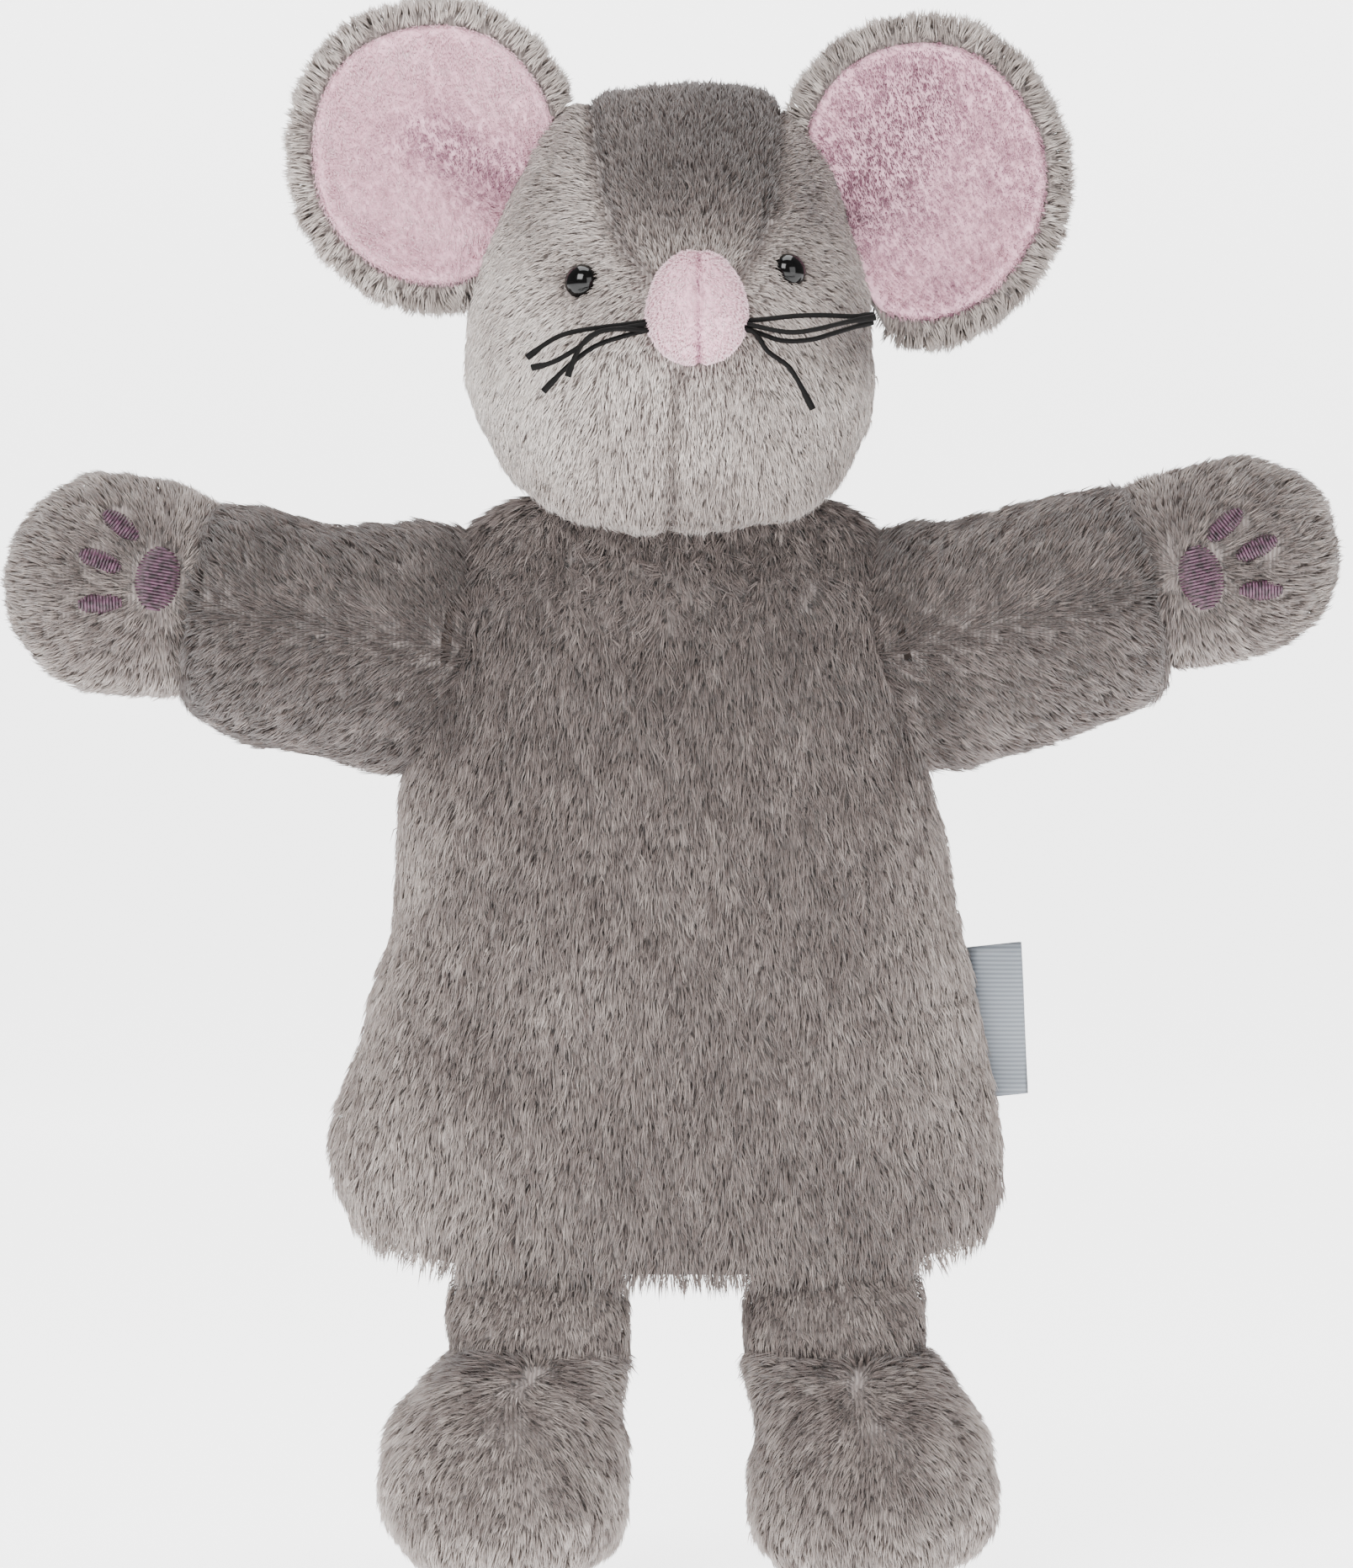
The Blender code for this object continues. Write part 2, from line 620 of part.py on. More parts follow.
panels = {"head_left_panel": (right_half, "left"), "head_right_panel": (left_half, "right")}
for name, (other_half, side) in panels.items():
    panel = add(name, solid_loft(name, head_skin(0)), neck, PALE)
    boolean(panel, head_inside)
    boolean(panel, other_half)
    boolean(panel, gusset_and_gap)
    boolean(panel, neck_opening)
    hole = add(side + "_shank_hole", round_bar(EYE_SHANK + GAP, 0.03, 0, 12), eye_frames[side])
    boolean(panel, hole)

gusset = add("head_gusset", solid_loft("head_gusset", head_skin(0)), neck, TAUPE)
boolean(gusset, head_inside)
boolean(gusset, gusset_strip, "INTERSECT")
boolean(gusset, neck_opening)

# The finger pocket stands in a bore through the wadding.
outside = FINGER_BORE + FINGER_CLOTH
pocket_inside = FINGER_DEPTH - FINGER_CLOTH
turned("finger_tube", [
    (0, FINGER_DEPTH), (0.6 * outside, FINGER_DEPTH - FINGER_EASE),
    (outside, FINGER_DEPTH - FINGER_SHOULDER), (outside, FINGER_FOOT), (FINGER_BORE, FINGER_FOOT),
    (FINGER_BORE, pocket_inside - FINGER_SHOULDER), (0, pocket_inside - 2 * FINGER_EASE),
], 16, neck, COTTON)
bore_top = FINGER_DEPTH + GAP
bore = add("finger_bore", round_bar(
    outside + GAP, bore_top + NECK_RECESS_HEIGHT, (bore_top - NECK_RECESS_HEIGHT) / 2, 16), neck)

stuffing = add("head_stuffing", solid_loft("head_stuffing", head_skin(PLUSH + FILL_GAP)), neck,
               WADDING)
neck_recess = add("neck_recess", round_bar(
    NECK_RECESS_RADIUS + GAP, 3 * NECK_RECESS_HEIGHT, -0.5 * NECK_RECESS_HEIGHT, 20), neck)
boolean(stuffing, neck_recess)
boolean(stuffing, bore)

# ---------------------------------------------------------------- eyes

under_panel = PLUSH + WASHER_SET_BACK
for side, frame in eye_frames.items():
    dome = [(EYE_RADIUS * math.sin(a), GAP + EYE_RIM + EYE_DOME * math.cos(a))
            for a in (math.pi / 2 * i / 4 for i in range(5))]
    turned(side + "_eye", [
        *dome, (EYE_RADIUS, GAP), (EYE_SHANK, GAP),
        (EYE_SHANK, -EYE_SHANK_LENGTH), (0, -EYE_SHANK_LENGTH),
    ], 12, frame, BLACK)
    turned(side + "_eye_washer", [
        (EYE_SHANK + GAP, -under_panel), (WASHER_RADIUS, -under_panel),
        (WASHER_RADIUS, -under_panel - WASHER_THICKNESS),
        (EYE_SHANK + GAP, -under_panel - WASHER_THICKNESS), (EYE_SHANK + GAP, -under_panel),
    ], 12, frame, BLACK)
    pocket_depth = EYE_SHANK_LENGTH + 2 * GAP
    pocket = add(side + "_washer_pocket", round_bar(
        WASHER_RADIUS + GAP, pocket_depth, -pocket_depth / 2, 12), frame)
    boolean(stuffing, pocket)

# ---------------------------------------------------------------- nose and whiskers

muzzle, _ = head_front(NOSE_ACROSS, NOSE_HEIGHT)
nose_middle = Vector((NOSE_ACROSS, muzzle.y - 0.55 * NOSE_SIZE[1], NOSE_HEIGHT))


def egg(name, inset):
    """The nose's outline, a little narrower at its top."""
    rows = []
    for i in range(1, 9):
        angle = math.pi * i / 9
        height = -math.cos(angle)
        taper = 1 - 0.10 * height
        half_x, half_y, half_z = (size - inset for size in NOSE_SIZE)
        rows.append([nose_middle + Vector((
            half_x * taper * math.sin(angle) * math.cos(t),
            half_y * taper * math.sin(angle) * math.sin(t),
            half_z * height,
        )) for t in (2 * math.pi * j / 16 for j in range(16))])
    return solid_loft(name, rows)


muzzle_room = add("muzzle_room", solid_loft("room", head_skin(-GAP)), neck)
nose_inside = add("nose_inside", egg("inside", VELOUR), neck)
channel_bar = round_bar(WHISKER_CHANNEL, 0.05, 0, 12)
channel_bar.transform(Matrix.Rotation(math.pi / 2, 4, "Y"))
channel_bar.transform(Matrix.Translation(nose_middle + Vector(WHISKER_CHANNEL_DROP)))
channel = add("whisker_channel", channel_bar, neck)
nose_cuts = {
    "nose_left_half": ((NOSE_ACROSS - GAP / 2, -FAR, -FAR), (FAR, FAR, 2 * FAR)),
    "nose_right_half": ((-FAR, -FAR, -FAR), (NOSE_ACROSS + GAP / 2, FAR, 2 * FAR)),
}
for name, corners in nose_cuts.items():
    half = add(name, egg(name, 0), neck, NOSE_PINK)
    boolean(half, nose_inside)
    boolean(half, add(name + "_cut", block(*corners), neck))
    boolean(half, muzzle_room)
    boolean(half, channel)
nose_stuffing = add("nose_stuffing", egg("nose_stuffing", VELOUR + FILL_GAP), neck, WADDING)
boolean(nose_stuffing, muzzle_room)
boolean(nose_stuffing, channel)

for name, route in WHISKERS.items():
    curve = bpy.data.curves.new(name, "CURVE")
    curve.dimensions = "3D"
    curve.bevel_depth = WHISKER_DIAMETER / 2
    curve.bevel_resolution = 2
    curve.use_fill_caps = True
    line = curve.splines.new("POLY")
    line.points.add(len(route) - 1)
    for point, (right, forward, up) in zip(line.points, route):
        place = nose_middle + Vector((right, -forward, up)) / 1000
        point.co = (*place, 1)
    piece = bpy.data.objects.new(name, curve)
    curve.materials.append(THREAD)
    parts.objects.link(piece)
    piece.parent = neck

# ---------------------------------------------------------------- ears

for side, at in SIDES.items():
    sign = at["sign"]
    low = Vector((sign * 0.99 * HEAD_HALF_WIDTH, -EAR_SET_FORWARD, 0.445 * HEAD_HEIGHT))
    high = Vector((sign * 0.48 * HEAD_HALF_WIDTH, -EAR_SET_FORWARD, 0.965 * HEAD_HEIGHT))
    fold = (high - low).normalized()
    out = Vector((sign * fold.z, 0, -sign * fold.x))
    if out.x * sign < 0:
        out = -out
    turn = Matrix((
        (*out, 0), (0, 1, 0, 0), (*fold, 0), (0, 0, 0, 1)
    )).transposed()
    if sign < 0:
        turn = turn @ Matrix.Rotation(math.pi, 4, "X")
    centre = neck.matrix_world @ ((low + high) / 2)
    hinge = pivot(side + "_ear_fold", centre, turn=turn.to_3x3().to_4x4())
    ear_x, ear_z = at["ear"]
    local = hinge.matrix_world.inverted() @ Vector((ear_x, centre.y, ear_z))
    trim = add(side + "_ear_trim", block(
        (-FAR, -FAR, -FAR), (EAR_CLEARANCE, FAR, FAR)), hinge)
    front_sign = -1 if (hinge.matrix_world.to_3x3() @ Vector((0, 1, 0))).y > 0 else 1
    layers = {
        "_ear_back": (EAR_RADIUS, EAR_BACK_THICKNESS, 0.5 * EAR_BACK_THICKNESS + GAP, TAUPE),
        "_ear_front": (EAR_FRONT_RADIUS, EAR_FRONT_THICKNESS, -0.5 * EAR_FRONT_THICKNESS, PINK),
    }
    for name, (radius, thickness, back, material) in layers.items():
        disc = round_bar(radius, thickness, 0, 28)
        disc.transform(Matrix.Rotation(math.pi / 2, 4, "X"))
        disc.transform(Matrix.Translation((local.x, -front_sign * back, local.z)))
        piece = add(side + name, disc, hinge, material)
        boolean(piece, trim)

# ---------------------------------------------------------------- arms and paws

for side, at in SIDES.items():
    sign = at["sign"]
    shoulder = shoulders[side]
    sleeve_end = SLEEVE_LENGTH + at["arm_reach"]
    ring(side + "_armhole_seam", ARMHOLE_RING_RADIUS, shoulder,
         Matrix.Rotation(math.pi / 2, 4, "Y"))
    ball = [(-SHOULDER_RADIUS * math.sin(a), SHOULDER_RADIUS * math.cos(a))
            for a in (math.radians(SHOULDER_BALL) * (1 - i / 4) for i in range(5))]
    rows = [(s, r, min(r, SLEEVE_HALF_DEPTH + WRIST_GAP)) for s, r in ball]
    rows += smooth_rows([
        (0.35 * SLEEVE_LENGTH, 0.95 * SLEEVE_HALF_HEIGHT, SLEEVE_HALF_DEPTH),
        (0.62 * SLEEVE_LENGTH, SLEEVE_HALF_HEIGHT, SLEEVE_HALF_DEPTH),
        (0.85 * SLEEVE_LENGTH, 0.93 * SLEEVE_HALF_HEIGHT, 0.94 * SLEEVE_HALF_DEPTH),
        (sleeve_end, WRIST_HALF_HEIGHT, WRIST_HALF_DEPTH),
    ], 1)
    for name, half in (("_sleeve_front", "front"), ("_sleeve_back", "back")):
        skins = [along_arm(rows, 20, inset, half) for inset in (0, PLUSH)]
        add(side + name, shell_loft(name, *skins), shoulder, TAUPE)

    wrist_at = shoulder.matrix_world @ Vector((sleeve_end + WRIST_GAP, 0, 0))
    wrist = pivot(side + "_wrist", wrist_at, turn=shoulder.matrix_world.to_3x3().to_4x4())
    middle = 0.52 * PAW_TIP
    paw_rows = [(WRIST_GAP, 0.74 * PAW_HALF_HEIGHT, 0.56 * PAW_HALF_DEPTH),
                (0.16 * PAW_TIP, 0.88 * PAW_HALF_HEIGHT, 0.74 * PAW_HALF_DEPTH)]
    for i in range(7):
        angle = math.radians(62 + 118 * i / 6)
        long = middle - (PAW_TIP - middle) * math.cos(angle)
        paw_rows.append((long, PAW_HALF_HEIGHT * math.sin(angle) ** 0.8 if i < 6 else 0,
                         PAW_HALF_DEPTH * math.sin(angle) ** 0.8 if i < 6 else 0))

    def paw_skin(inset, count, half=None):
        """The paw's outline, drawn in by an inset all round and at its tip."""
        squeeze = 1 - inset / PAW_TIP
        rows = [(s * squeeze, max(h - inset, 0), max(d - inset, 0)) for s, h, d in paw_rows]
        return along_arm(rows, count, 0, half)

    for name, half in (("_paw_palm", "front"), ("_paw_back", "back")):
        skins = [paw_skin(inset, 16, half) for inset in (0, PLUSH)]
        add(side + name, shell_loft(name, *skins), wrist, TAUPE)
    fill_mesh = solid_loft("paw_stuffing", paw_skin(PLUSH + FILL_GAP, 16)[:-1])
    add(side + "_paw_stuffing", fill_mesh, wrist, WADDING)

    def palm_front(s, h):
        """The palm's outer face at a distance from the wrist and a height."""
        for low, high in zip(paw_rows, paw_rows[1:]):
            if low[0] <= s <= high[0]:
                t = (s - low[0]) / (high[0] - low[0])
                height = low[1] + t * (high[1] - low[1])
                depth = low[2] + t * (high[2] - low[2])
                return -depth * math.sqrt(max(0.0, 1 - (h / height) ** 2))
        return 0.0

    for pad, (distance, height, half_long, half_high, tilt) in PADS[side].items():
        middle_s = distance - sleeve_end - WRIST_GAP
        middle_h = height * sign
        lean = math.radians(tilt) * sign
        rows = []
        for share in (0.0, 1.0):
            row = []
            for i in range(10):
                t = 2 * math.pi * i / 10
                a = half_long * share * math.cos(t)
                b = half_high * share * math.sin(t)
                s = middle_s + a * math.cos(lean) - b * math.sin(lean)
                h = middle_h + a * math.sin(lean) + b * math.cos(lean)
                row.append(Vector((s, palm_front(s, h) - 1.8 * GAP, h)))
            rows.append(row)
        raised = [[p - Vector((0, PAD_THICKNESS, 0)) for p in row] for row in rows]
        pad_mesh = shell_loft(pad, raised, rows, whole=True)
        add(side + "_" + pad, pad_mesh, wrist, MAUVE)

# ---------------------------------------------------------------- legs and feet

for side, at in SIDES.items():
    hip = pivot(side + "_hip", Vector((at["leg"], -LEG_SET_FORWARD, -HIP_DROP)))
    leg_rows = smooth_rows([
        (0.0000, 0.92 * LEG_HALF_WIDTH, LEG_SEAM_HALF_DEPTH, LEG_SEAM_HALF_DEPTH, 0),
        (-0.20 * LEG_LENGTH, 0.97 * LEG_HALF_WIDTH, 0.30 * LEG_HALF_DEPTH,
         0.30 * LEG_HALF_DEPTH, 0),
        (-0.60 * LEG_LENGTH, 1.03 * LEG_HALF_WIDTH, 0.74 * LEG_HALF_DEPTH,
         0.74 * LEG_HALF_DEPTH, 0),
        (-1.00 * LEG_LENGTH, LEG_HALF_WIDTH, LEG_HALF_DEPTH, LEG_HALF_DEPTH, 0),
    ], 2)
    leg = add(side + "_leg_tube", solid_loft("leg", upright(leg_rows, 20, 2.2)), hip, TAUPE)
    hollow_rows = leg_rows[3:] + [(leg_rows[-1][0] - PLUSH, *leg_rows[-1][1:])]
    hollow = add(side + "_leg_hollow", solid_loft(
        "hollow", upright(hollow_rows, 20, 2.2, PLUSH)), hip)
    boolean(leg, hollow)
    fill_rows = [(z - GAP, w, f, b, x) for z, w, f, b, x in hollow_rows[:-2]]
    add(side + "_leg_stuffing", solid_loft(
        "fill", upright(fill_rows, 20, 2.2, PLUSH + FILL_GAP)), hip, WADDING)

    ankle = pivot(side + "_ankle", Vector((
        at["leg"], -LEG_SET_FORWARD, -HIP_DROP - LEG_LENGTH - ANKLE_GAP)))
    shift = at["foot"]
    foot_rows = smooth_rows([
        (-0.020 * FOOT_HEIGHT, 0.50 * FOOT_HALF_WIDTH, 0.29 * FOOT_TOE, 0.41 * FOOT_HEEL, 0),
        (-0.060 * FOOT_HEIGHT, 0.51 * FOOT_HALF_WIDTH, 0.31 * FOOT_TOE, 0.43 * FOOT_HEEL, 0),
        (-0.180 * FOOT_HEIGHT, 0.80 * FOOT_HALF_WIDTH, 0.62 * FOOT_TOE, 0.74 * FOOT_HEEL,
         0.6 * shift),
        (-0.330 * FOOT_HEIGHT, 0.94 * FOOT_HALF_WIDTH, 0.86 * FOOT_TOE, 0.92 * FOOT_HEEL,
         0.9 * shift),
        (-0.520 * FOOT_HEIGHT, 1.00 * FOOT_HALF_WIDTH, 0.98 * FOOT_TOE, 1.00 * FOOT_HEEL,
         shift),
        (-0.720 * FOOT_HEIGHT, 1.00 * FOOT_HALF_WIDTH, 1.00 * FOOT_TOE, 1.00 * FOOT_HEEL,
         shift),
        (-0.880 * FOOT_HEIGHT, 0.90 * FOOT_HALF_WIDTH, 0.93 * FOOT_TOE, 0.92 * FOOT_HEEL,
         shift),
        (-1.000 * FOOT_HEIGHT, 0.62 * FOOT_HALF_WIDTH, 0.68 * FOOT_TOE, 0.64 * FOOT_HEEL,
         shift),
    ], 1)

    def foot_solid(name, inset, above=0.0):
        """The foot's outline, drawn in by an inset, and perhaps carried up past its top."""
        squeeze = 1 - inset / FOOT_HEIGHT
        rows = [(z * squeeze, w, f, b, x) for z, w, f, b, x in foot_rows]
        if above:
            rows.insert(0, (above, *rows[0][1:]))
        return solid_loft(name, upright(rows, 18, 2.1, inset))

    hollow = add(side + "_foot_hollow", foot_solid("hollow", PLUSH, PLUSH), ankle)
    sole_top = -FOOT_HEIGHT + SOLE_HEIGHT
    above = add(side + "_above_sole", block((-FAR, -FAR, sole_top), (FAR, FAR, FAR)), ankle)
    below = add(side + "_below_upper", block(
        (-FAR, -FAR, -FAR), (FAR, FAR, sole_top + GAP)), ankle)
    upper = add(side + "_foot_upper", foot_solid("upper", 0), ankle, TAUPE)
    sole = add(side + "_foot_sole", foot_solid("sole", 0), ankle, TAUPE)
    boolean(upper, below)
    boolean(upper, hollow)
    boolean(sole, above)
    boolean(sole, hollow)
    fill_mesh = foot_solid("fill", PLUSH + FILL_GAP)
    add(side + "_foot_stuffing", fill_mesh, ankle, WADDING)
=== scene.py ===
"""A plush mouse glove puppet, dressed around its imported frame. Metres, +Z up, facing -Y."""

import math

import bpy
import numpy as np
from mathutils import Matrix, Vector
from mathutils.kdtree import KDTree


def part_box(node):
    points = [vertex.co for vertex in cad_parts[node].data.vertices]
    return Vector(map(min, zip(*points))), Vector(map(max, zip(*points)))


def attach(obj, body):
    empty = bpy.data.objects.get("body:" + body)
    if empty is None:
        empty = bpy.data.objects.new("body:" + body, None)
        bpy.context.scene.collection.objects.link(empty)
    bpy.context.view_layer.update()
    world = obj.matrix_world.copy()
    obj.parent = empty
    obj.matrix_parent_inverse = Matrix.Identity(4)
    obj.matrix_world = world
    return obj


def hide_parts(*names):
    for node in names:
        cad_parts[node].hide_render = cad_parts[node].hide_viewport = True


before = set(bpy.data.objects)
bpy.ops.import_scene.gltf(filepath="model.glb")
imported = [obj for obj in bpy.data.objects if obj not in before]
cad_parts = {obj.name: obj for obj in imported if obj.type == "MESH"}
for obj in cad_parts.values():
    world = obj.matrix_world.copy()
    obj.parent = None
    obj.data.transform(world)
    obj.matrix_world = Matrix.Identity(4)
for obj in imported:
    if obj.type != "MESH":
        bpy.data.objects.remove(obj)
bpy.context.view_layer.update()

# ---------------- camera, floor and light
# A long lens looks straight at the mouse from in front. The floor and the wall behind it
# are one pale sheet of paper with a soft bend, under large soft lamps.

VIEW_HEIGHT = 0.3217  # what the picture's height takes in, at the puppet
LENS_MM = 150.0
SENSOR_MM = 36.0
VIEW_CENTRE = (0.0002, 0.099)
PAPER_HEIGHT = -0.065


def placed(name, data):
    """Adds an object to the scene."""
    made = bpy.data.objects.new(name, data)
    bpy.context.scene.collection.objects.link(made)
    return made


lens = bpy.data.cameras.new("studio_camera")
lens.lens = LENS_MM
lens.sensor_width = SENSOR_MM
lens.clip_start = 0.05
camera = placed("studio_camera", lens)
camera.location = (VIEW_CENTRE[0], -VIEW_HEIGHT * LENS_MM / SENSOR_MM, VIEW_CENTRE[1])
camera.rotation_euler = (math.pi / 2, 0, 0)
bpy.context.scene.camera = camera


def smooth_mesh(name, points, faces, finish):
    """Adds a smooth mesh of one material."""
    mesh = bpy.data.meshes.new(name)
    mesh.from_pydata(points, [], faces)
    mesh.materials.append(finish)
    mesh.polygons.foreach_set("use_smooth", np.ones(len(faces), bool))
    mesh.update()
    return placed(name, mesh)


def linear(code):
    """An sRGB hex colour as linear numbers."""
    values = [int(code[i:i + 2], 16) / 255 for i in (1, 3, 5)]
    return [v / 12.92 if v <= 0.04045 else ((v + 0.055) / 1.055) ** 2.4 for v in values] + [1.0]


def material(name, roughness, colour="#808080", **settings):
    """A Principled material: its shader's own sockets are set here."""
    made = bpy.data.materials.new(name)
    made.use_nodes = True
    shader = made.node_tree.nodes["Principled BSDF"]
    shader.inputs["Base Color"].default_value = linear(colour)
    shader.inputs["Roughness"].default_value = roughness
    for socket, value in settings.items():
        shader.inputs[socket.replace("_", " ")].default_value = value
    return made, made.node_tree, shader


def node(tree, kind, inputs=(), **settings):
    """Adds a node with its settings, and values or links for its inputs."""
    made = tree.nodes.new("ShaderNode" + kind)
    for name, value in settings.items():
        setattr(made, name, value)
    for socket, value in dict(inputs).items():
        if isinstance(value, bpy.types.NodeSocket):
            tree.links.new(value, made.inputs[socket])
        else:
            made.inputs[socket].default_value = value
    return made


def ramp(tree, value, *stops):
    """A colour ramp between hex colours at places from 0 to 1."""
    made = node(tree, "ValToRGB", {"Fac": value})
    blend = made.color_ramp
    while len(blend.elements) < len(stops):
        blend.elements.new(0.5)
    for element, (place, code) in zip(blend.elements, stops):
        element.position = place
        element.color = linear(code)
    return made.outputs["Color"]


def pattern(tree, kind, scale, way=None, space="Object", **inputs):
    """The value of a noise or wave texture over a piece. way is the direction of the waves."""
    where = node(tree, "TexCoord").outputs[space]
    made = node(tree, "Tex" + kind, {"Vector": where, "Scale": scale, **inputs})
    if way:
        made.bands_direction = way
    return made.outputs["Fac"]


def surface(tree, shader, value, stops, strength=0.0, depth=0.0):
    """Colours a material by a value from 0 to 1, and may emboss it by the same value."""
    tree.links.new(ramp(tree, value, *stops), shader.inputs["Base Color"])
    if depth:
        bump = node(tree, "Bump", {"Height": value, "Strength": strength, "Distance": depth})
        tree.links.new(bump.outputs["Normal"], shader.inputs["Normal"])


def mix_colours(tree, one, two, factor, **settings):
    """Mixes two colours. The node's colour sockets share their names with others."""
    made = node(tree, "Mix", {"Factor": factor}, data_type="RGBA", **settings)
    for socket, value in (("A", one), ("B", two)):
        tree.links.new(value, [s for s in made.inputs if s.name == socket and s.type == "RGBA"][0])
    return [s for s in made.outputs if s.type == "RGBA"][0]


paper, _, _ = material("matt_studio_paper", 0.9, "#fafafa", Specular_IOR_Level=0.1,
                       Emission_Color=(1, 1, 1, 1), Emission_Strength=2.6)
PAPER_REACH, BEND_START, BEND_RADIUS = 3.5, 1.8, 0.6
rows = [(-PAPER_REACH, 0.0), (BEND_START, 0.0)]
for step in range(1, 13):
    angle = math.pi / 2 * step / 12
    rows.append((BEND_START + BEND_RADIUS * math.sin(angle), BEND_RADIUS * (1 - math.cos(angle))))
rows.append((BEND_START + BEND_RADIUS, PAPER_REACH))
backdrop = smooth_mesh(
    "studio_paper",
    [(x, y, PAPER_HEIGHT + z) for y, z in rows for x in (-PAPER_REACH, PAPER_REACH)],
    [(2 * i, 2 * i + 1, 2 * i + 3, 2 * i + 2) for i in range(len(rows) - 1)], paper)

# Place, width and watts.
LAMPS = {
    "soft_key": ((-0.6, -1.2, 1.05), 0.8, 28.5),
    "soft_fill": ((0.85, -1.2, 0.45), 0.9, 9.0),
    "soft_top": ((0.0, 0.1, 1.2), 0.8, 12.5),
}
for name, (place, size, power) in LAMPS.items():
    lamp = bpy.data.lights.new(name, "AREA")
    lamp.size = size
    lamp.energy = power
    held = placed(name, lamp)
    held.location = place
    aim = Vector((0, 0, 0.09)) - Vector(place)
    held.rotation_euler = aim.to_track_quat("-Z", "Y").to_euler()

world = bpy.data.worlds.new("studio")
world.use_nodes = True
world.node_tree.nodes["Background"].inputs["Color"].default_value = (1, 1, 1, 1)
world.node_tree.nodes["Background"].inputs["Strength"].default_value = 0.3
bpy.context.scene.world = world

# ---------------- whiskers
# Eight whiskers of stiff waxed thread, knotted inside the nose and cut to length.
# They leave both sides of the nose below its middle. Their cut ends are a little swollen.

NOSE_CENTRE = Vector((0.0043, -0.04665, 0.1934))
WHISKER_DIAMETER = 0.001
# Millimetres right, forward and up from the nose's centre, from inside its stuffing on.
WHISKERS = {
    "whisker_left_1": [
        (-5, 0.2, -2.7), (-9.6, 0.3, -2.8), (-15.4, 0.8, -3.6), (-22.2, 1.2, -4.5),
        (-26.8, 1.2, -5.6), (-30.2, 0.8, -7.4), (-33.7, 0.2, -10),
    ],
    "whisker_left_2": [
        (-5, 1.6, -2.7), (-9.6, 1.7, -3.4), (-14.2, 2.2, -4.2), (-19.4, 2.8, -5.1),
        (-23.6, 2.8, -8.2), (-28.5, 2.2, -11), (-32.8, 1.6, -12.1),
    ],
    "whisker_left_3": [
        (-5, 0.2, -4.1), (-10.4, 0.2, -4.7), (-15.4, 0.6, -6), (-19.9, 0.8, -7.6),
        (-23.4, 0.7, -9.9), (-26.8, 0.4, -12.8), (-30.5, 0, -16.7),
    ],
    "whisker_left_4": [
        (-5, 1.6, -4.1), (-10.2, 1.9, -4.6), (-16.5, 4, -4.6), (-21.1, 4.9, -6),
        (-23.9, 4.9, -9.6), (-25.6, 4.5, -14),
    ],
    "whisker_right_1": [
        (5, 0.2, -2.7), (10.4, 0.3, -2.6), (14.4, 0.6, -2.3), (19, 0.8, -1.8), (24.7, 0.6, -1.6),
        (30.5, 0, -1.8), (35.1, -0.8, -1.5),
    ],
    "whisker_right_2": [
        (5, 1.6, -2.7), (10.4, 1.7, -3.6), (17.9, 2.3, -5.1), (23.6, 2.4, -4.5),
        (29.3, 1.7, -3.1), (35.3, 0.8, -2),
    ],
    "whisker_right_3": [
        (5, 0.2, -4.1), (10.8, 0.2, -4.7), (16.7, 0.2, -6.6), (22.5, 0, -6.4), (27, -0.6, -5.1),
        (30.5, -1.4, -4), (34.9, -2.4, -2.7),
    ],
    "whisker_right_4": [
        (5, 1.6, -4.1), (10.8, 1.7, -4.7), (13.9, 2, -8.8), (17.9, 1.6, -11.7), (20.2, 1, -15.1),
        (22.9, 0.2, -20.2),
    ],
}


def smooth_line(points, steps):
    """Catmull-Rom points through the given ones."""
    points = np.array(points, float)
    padded = np.vstack([points[:1], points, points[-1:]])
    made = []
    for i in range(len(points) - 1):
        a, b, c, d = padded[i:i + 4]
        for t in np.arange(steps) / steps:
            made.append(0.5 * (2 * b + (c - a) * t + (2 * a - 5 * b + 4 * c - d) * t**2
                               + (3 * b - a - 3 * c + d) * t**3))
    return np.array(made + [points[-1]])


# Waxed polyester thread: twisted strands every 0.8 mm, black, with a dull shine.
thread, tree, shader = material("black_waxed_thread", 0.6, Specular_IOR_Level=0.12)
twist = pattern(tree, "Wave", 9.0, "DIAGONAL", "UV", Distortion=0.6)
surface(tree, shader, twist, [(0.0, "#020202"), (1.0, "#0d0b0a")], 0.3, 0.0001)

for name, route in WHISKERS.items():
    route = [(math.copysign(0.5, route[0][0]), *route[0][1:])] + route
    line = smooth_line([(NOSE_CENTRE.x + r / 1000, NOSE_CENTRE.y - f / 1000,
                         NOSE_CENTRE.z + u / 1000) for r, f, u in route], 4)
    curve = bpy.data.curves.new(name + "_thread", "CURVE")
    curve.dimensions = "3D"
    curve.bevel_depth = WHISKER_DIAMETER / 2
    curve.bevel_resolution = 2
    curve.use_fill_caps = True
    spline = curve.splines.new("POLY")
    spline.points.add(len(line) - 1)
    spline.points.foreach_set("co", np.hstack([line, np.ones((len(line), 1))]).ravel())
    spline.use_smooth = True
    for point in spline.points[-3:]:
        point.radius = 1.35
    curve.materials.append(thread)
    whisker = placed(name + "_thread", curve)
    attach(whisker, "head")
    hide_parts(name)
    long = float(np.linalg.norm(np.diff(line, axis=0), axis=1).sum())

# ---------------- plush cloth and its pile
# The mouse is cut from fluffy polyester plush: a knitted backing with fibres that stand
# about 5 mm out of it, drawn into tufts and all brushed one way on each panel.

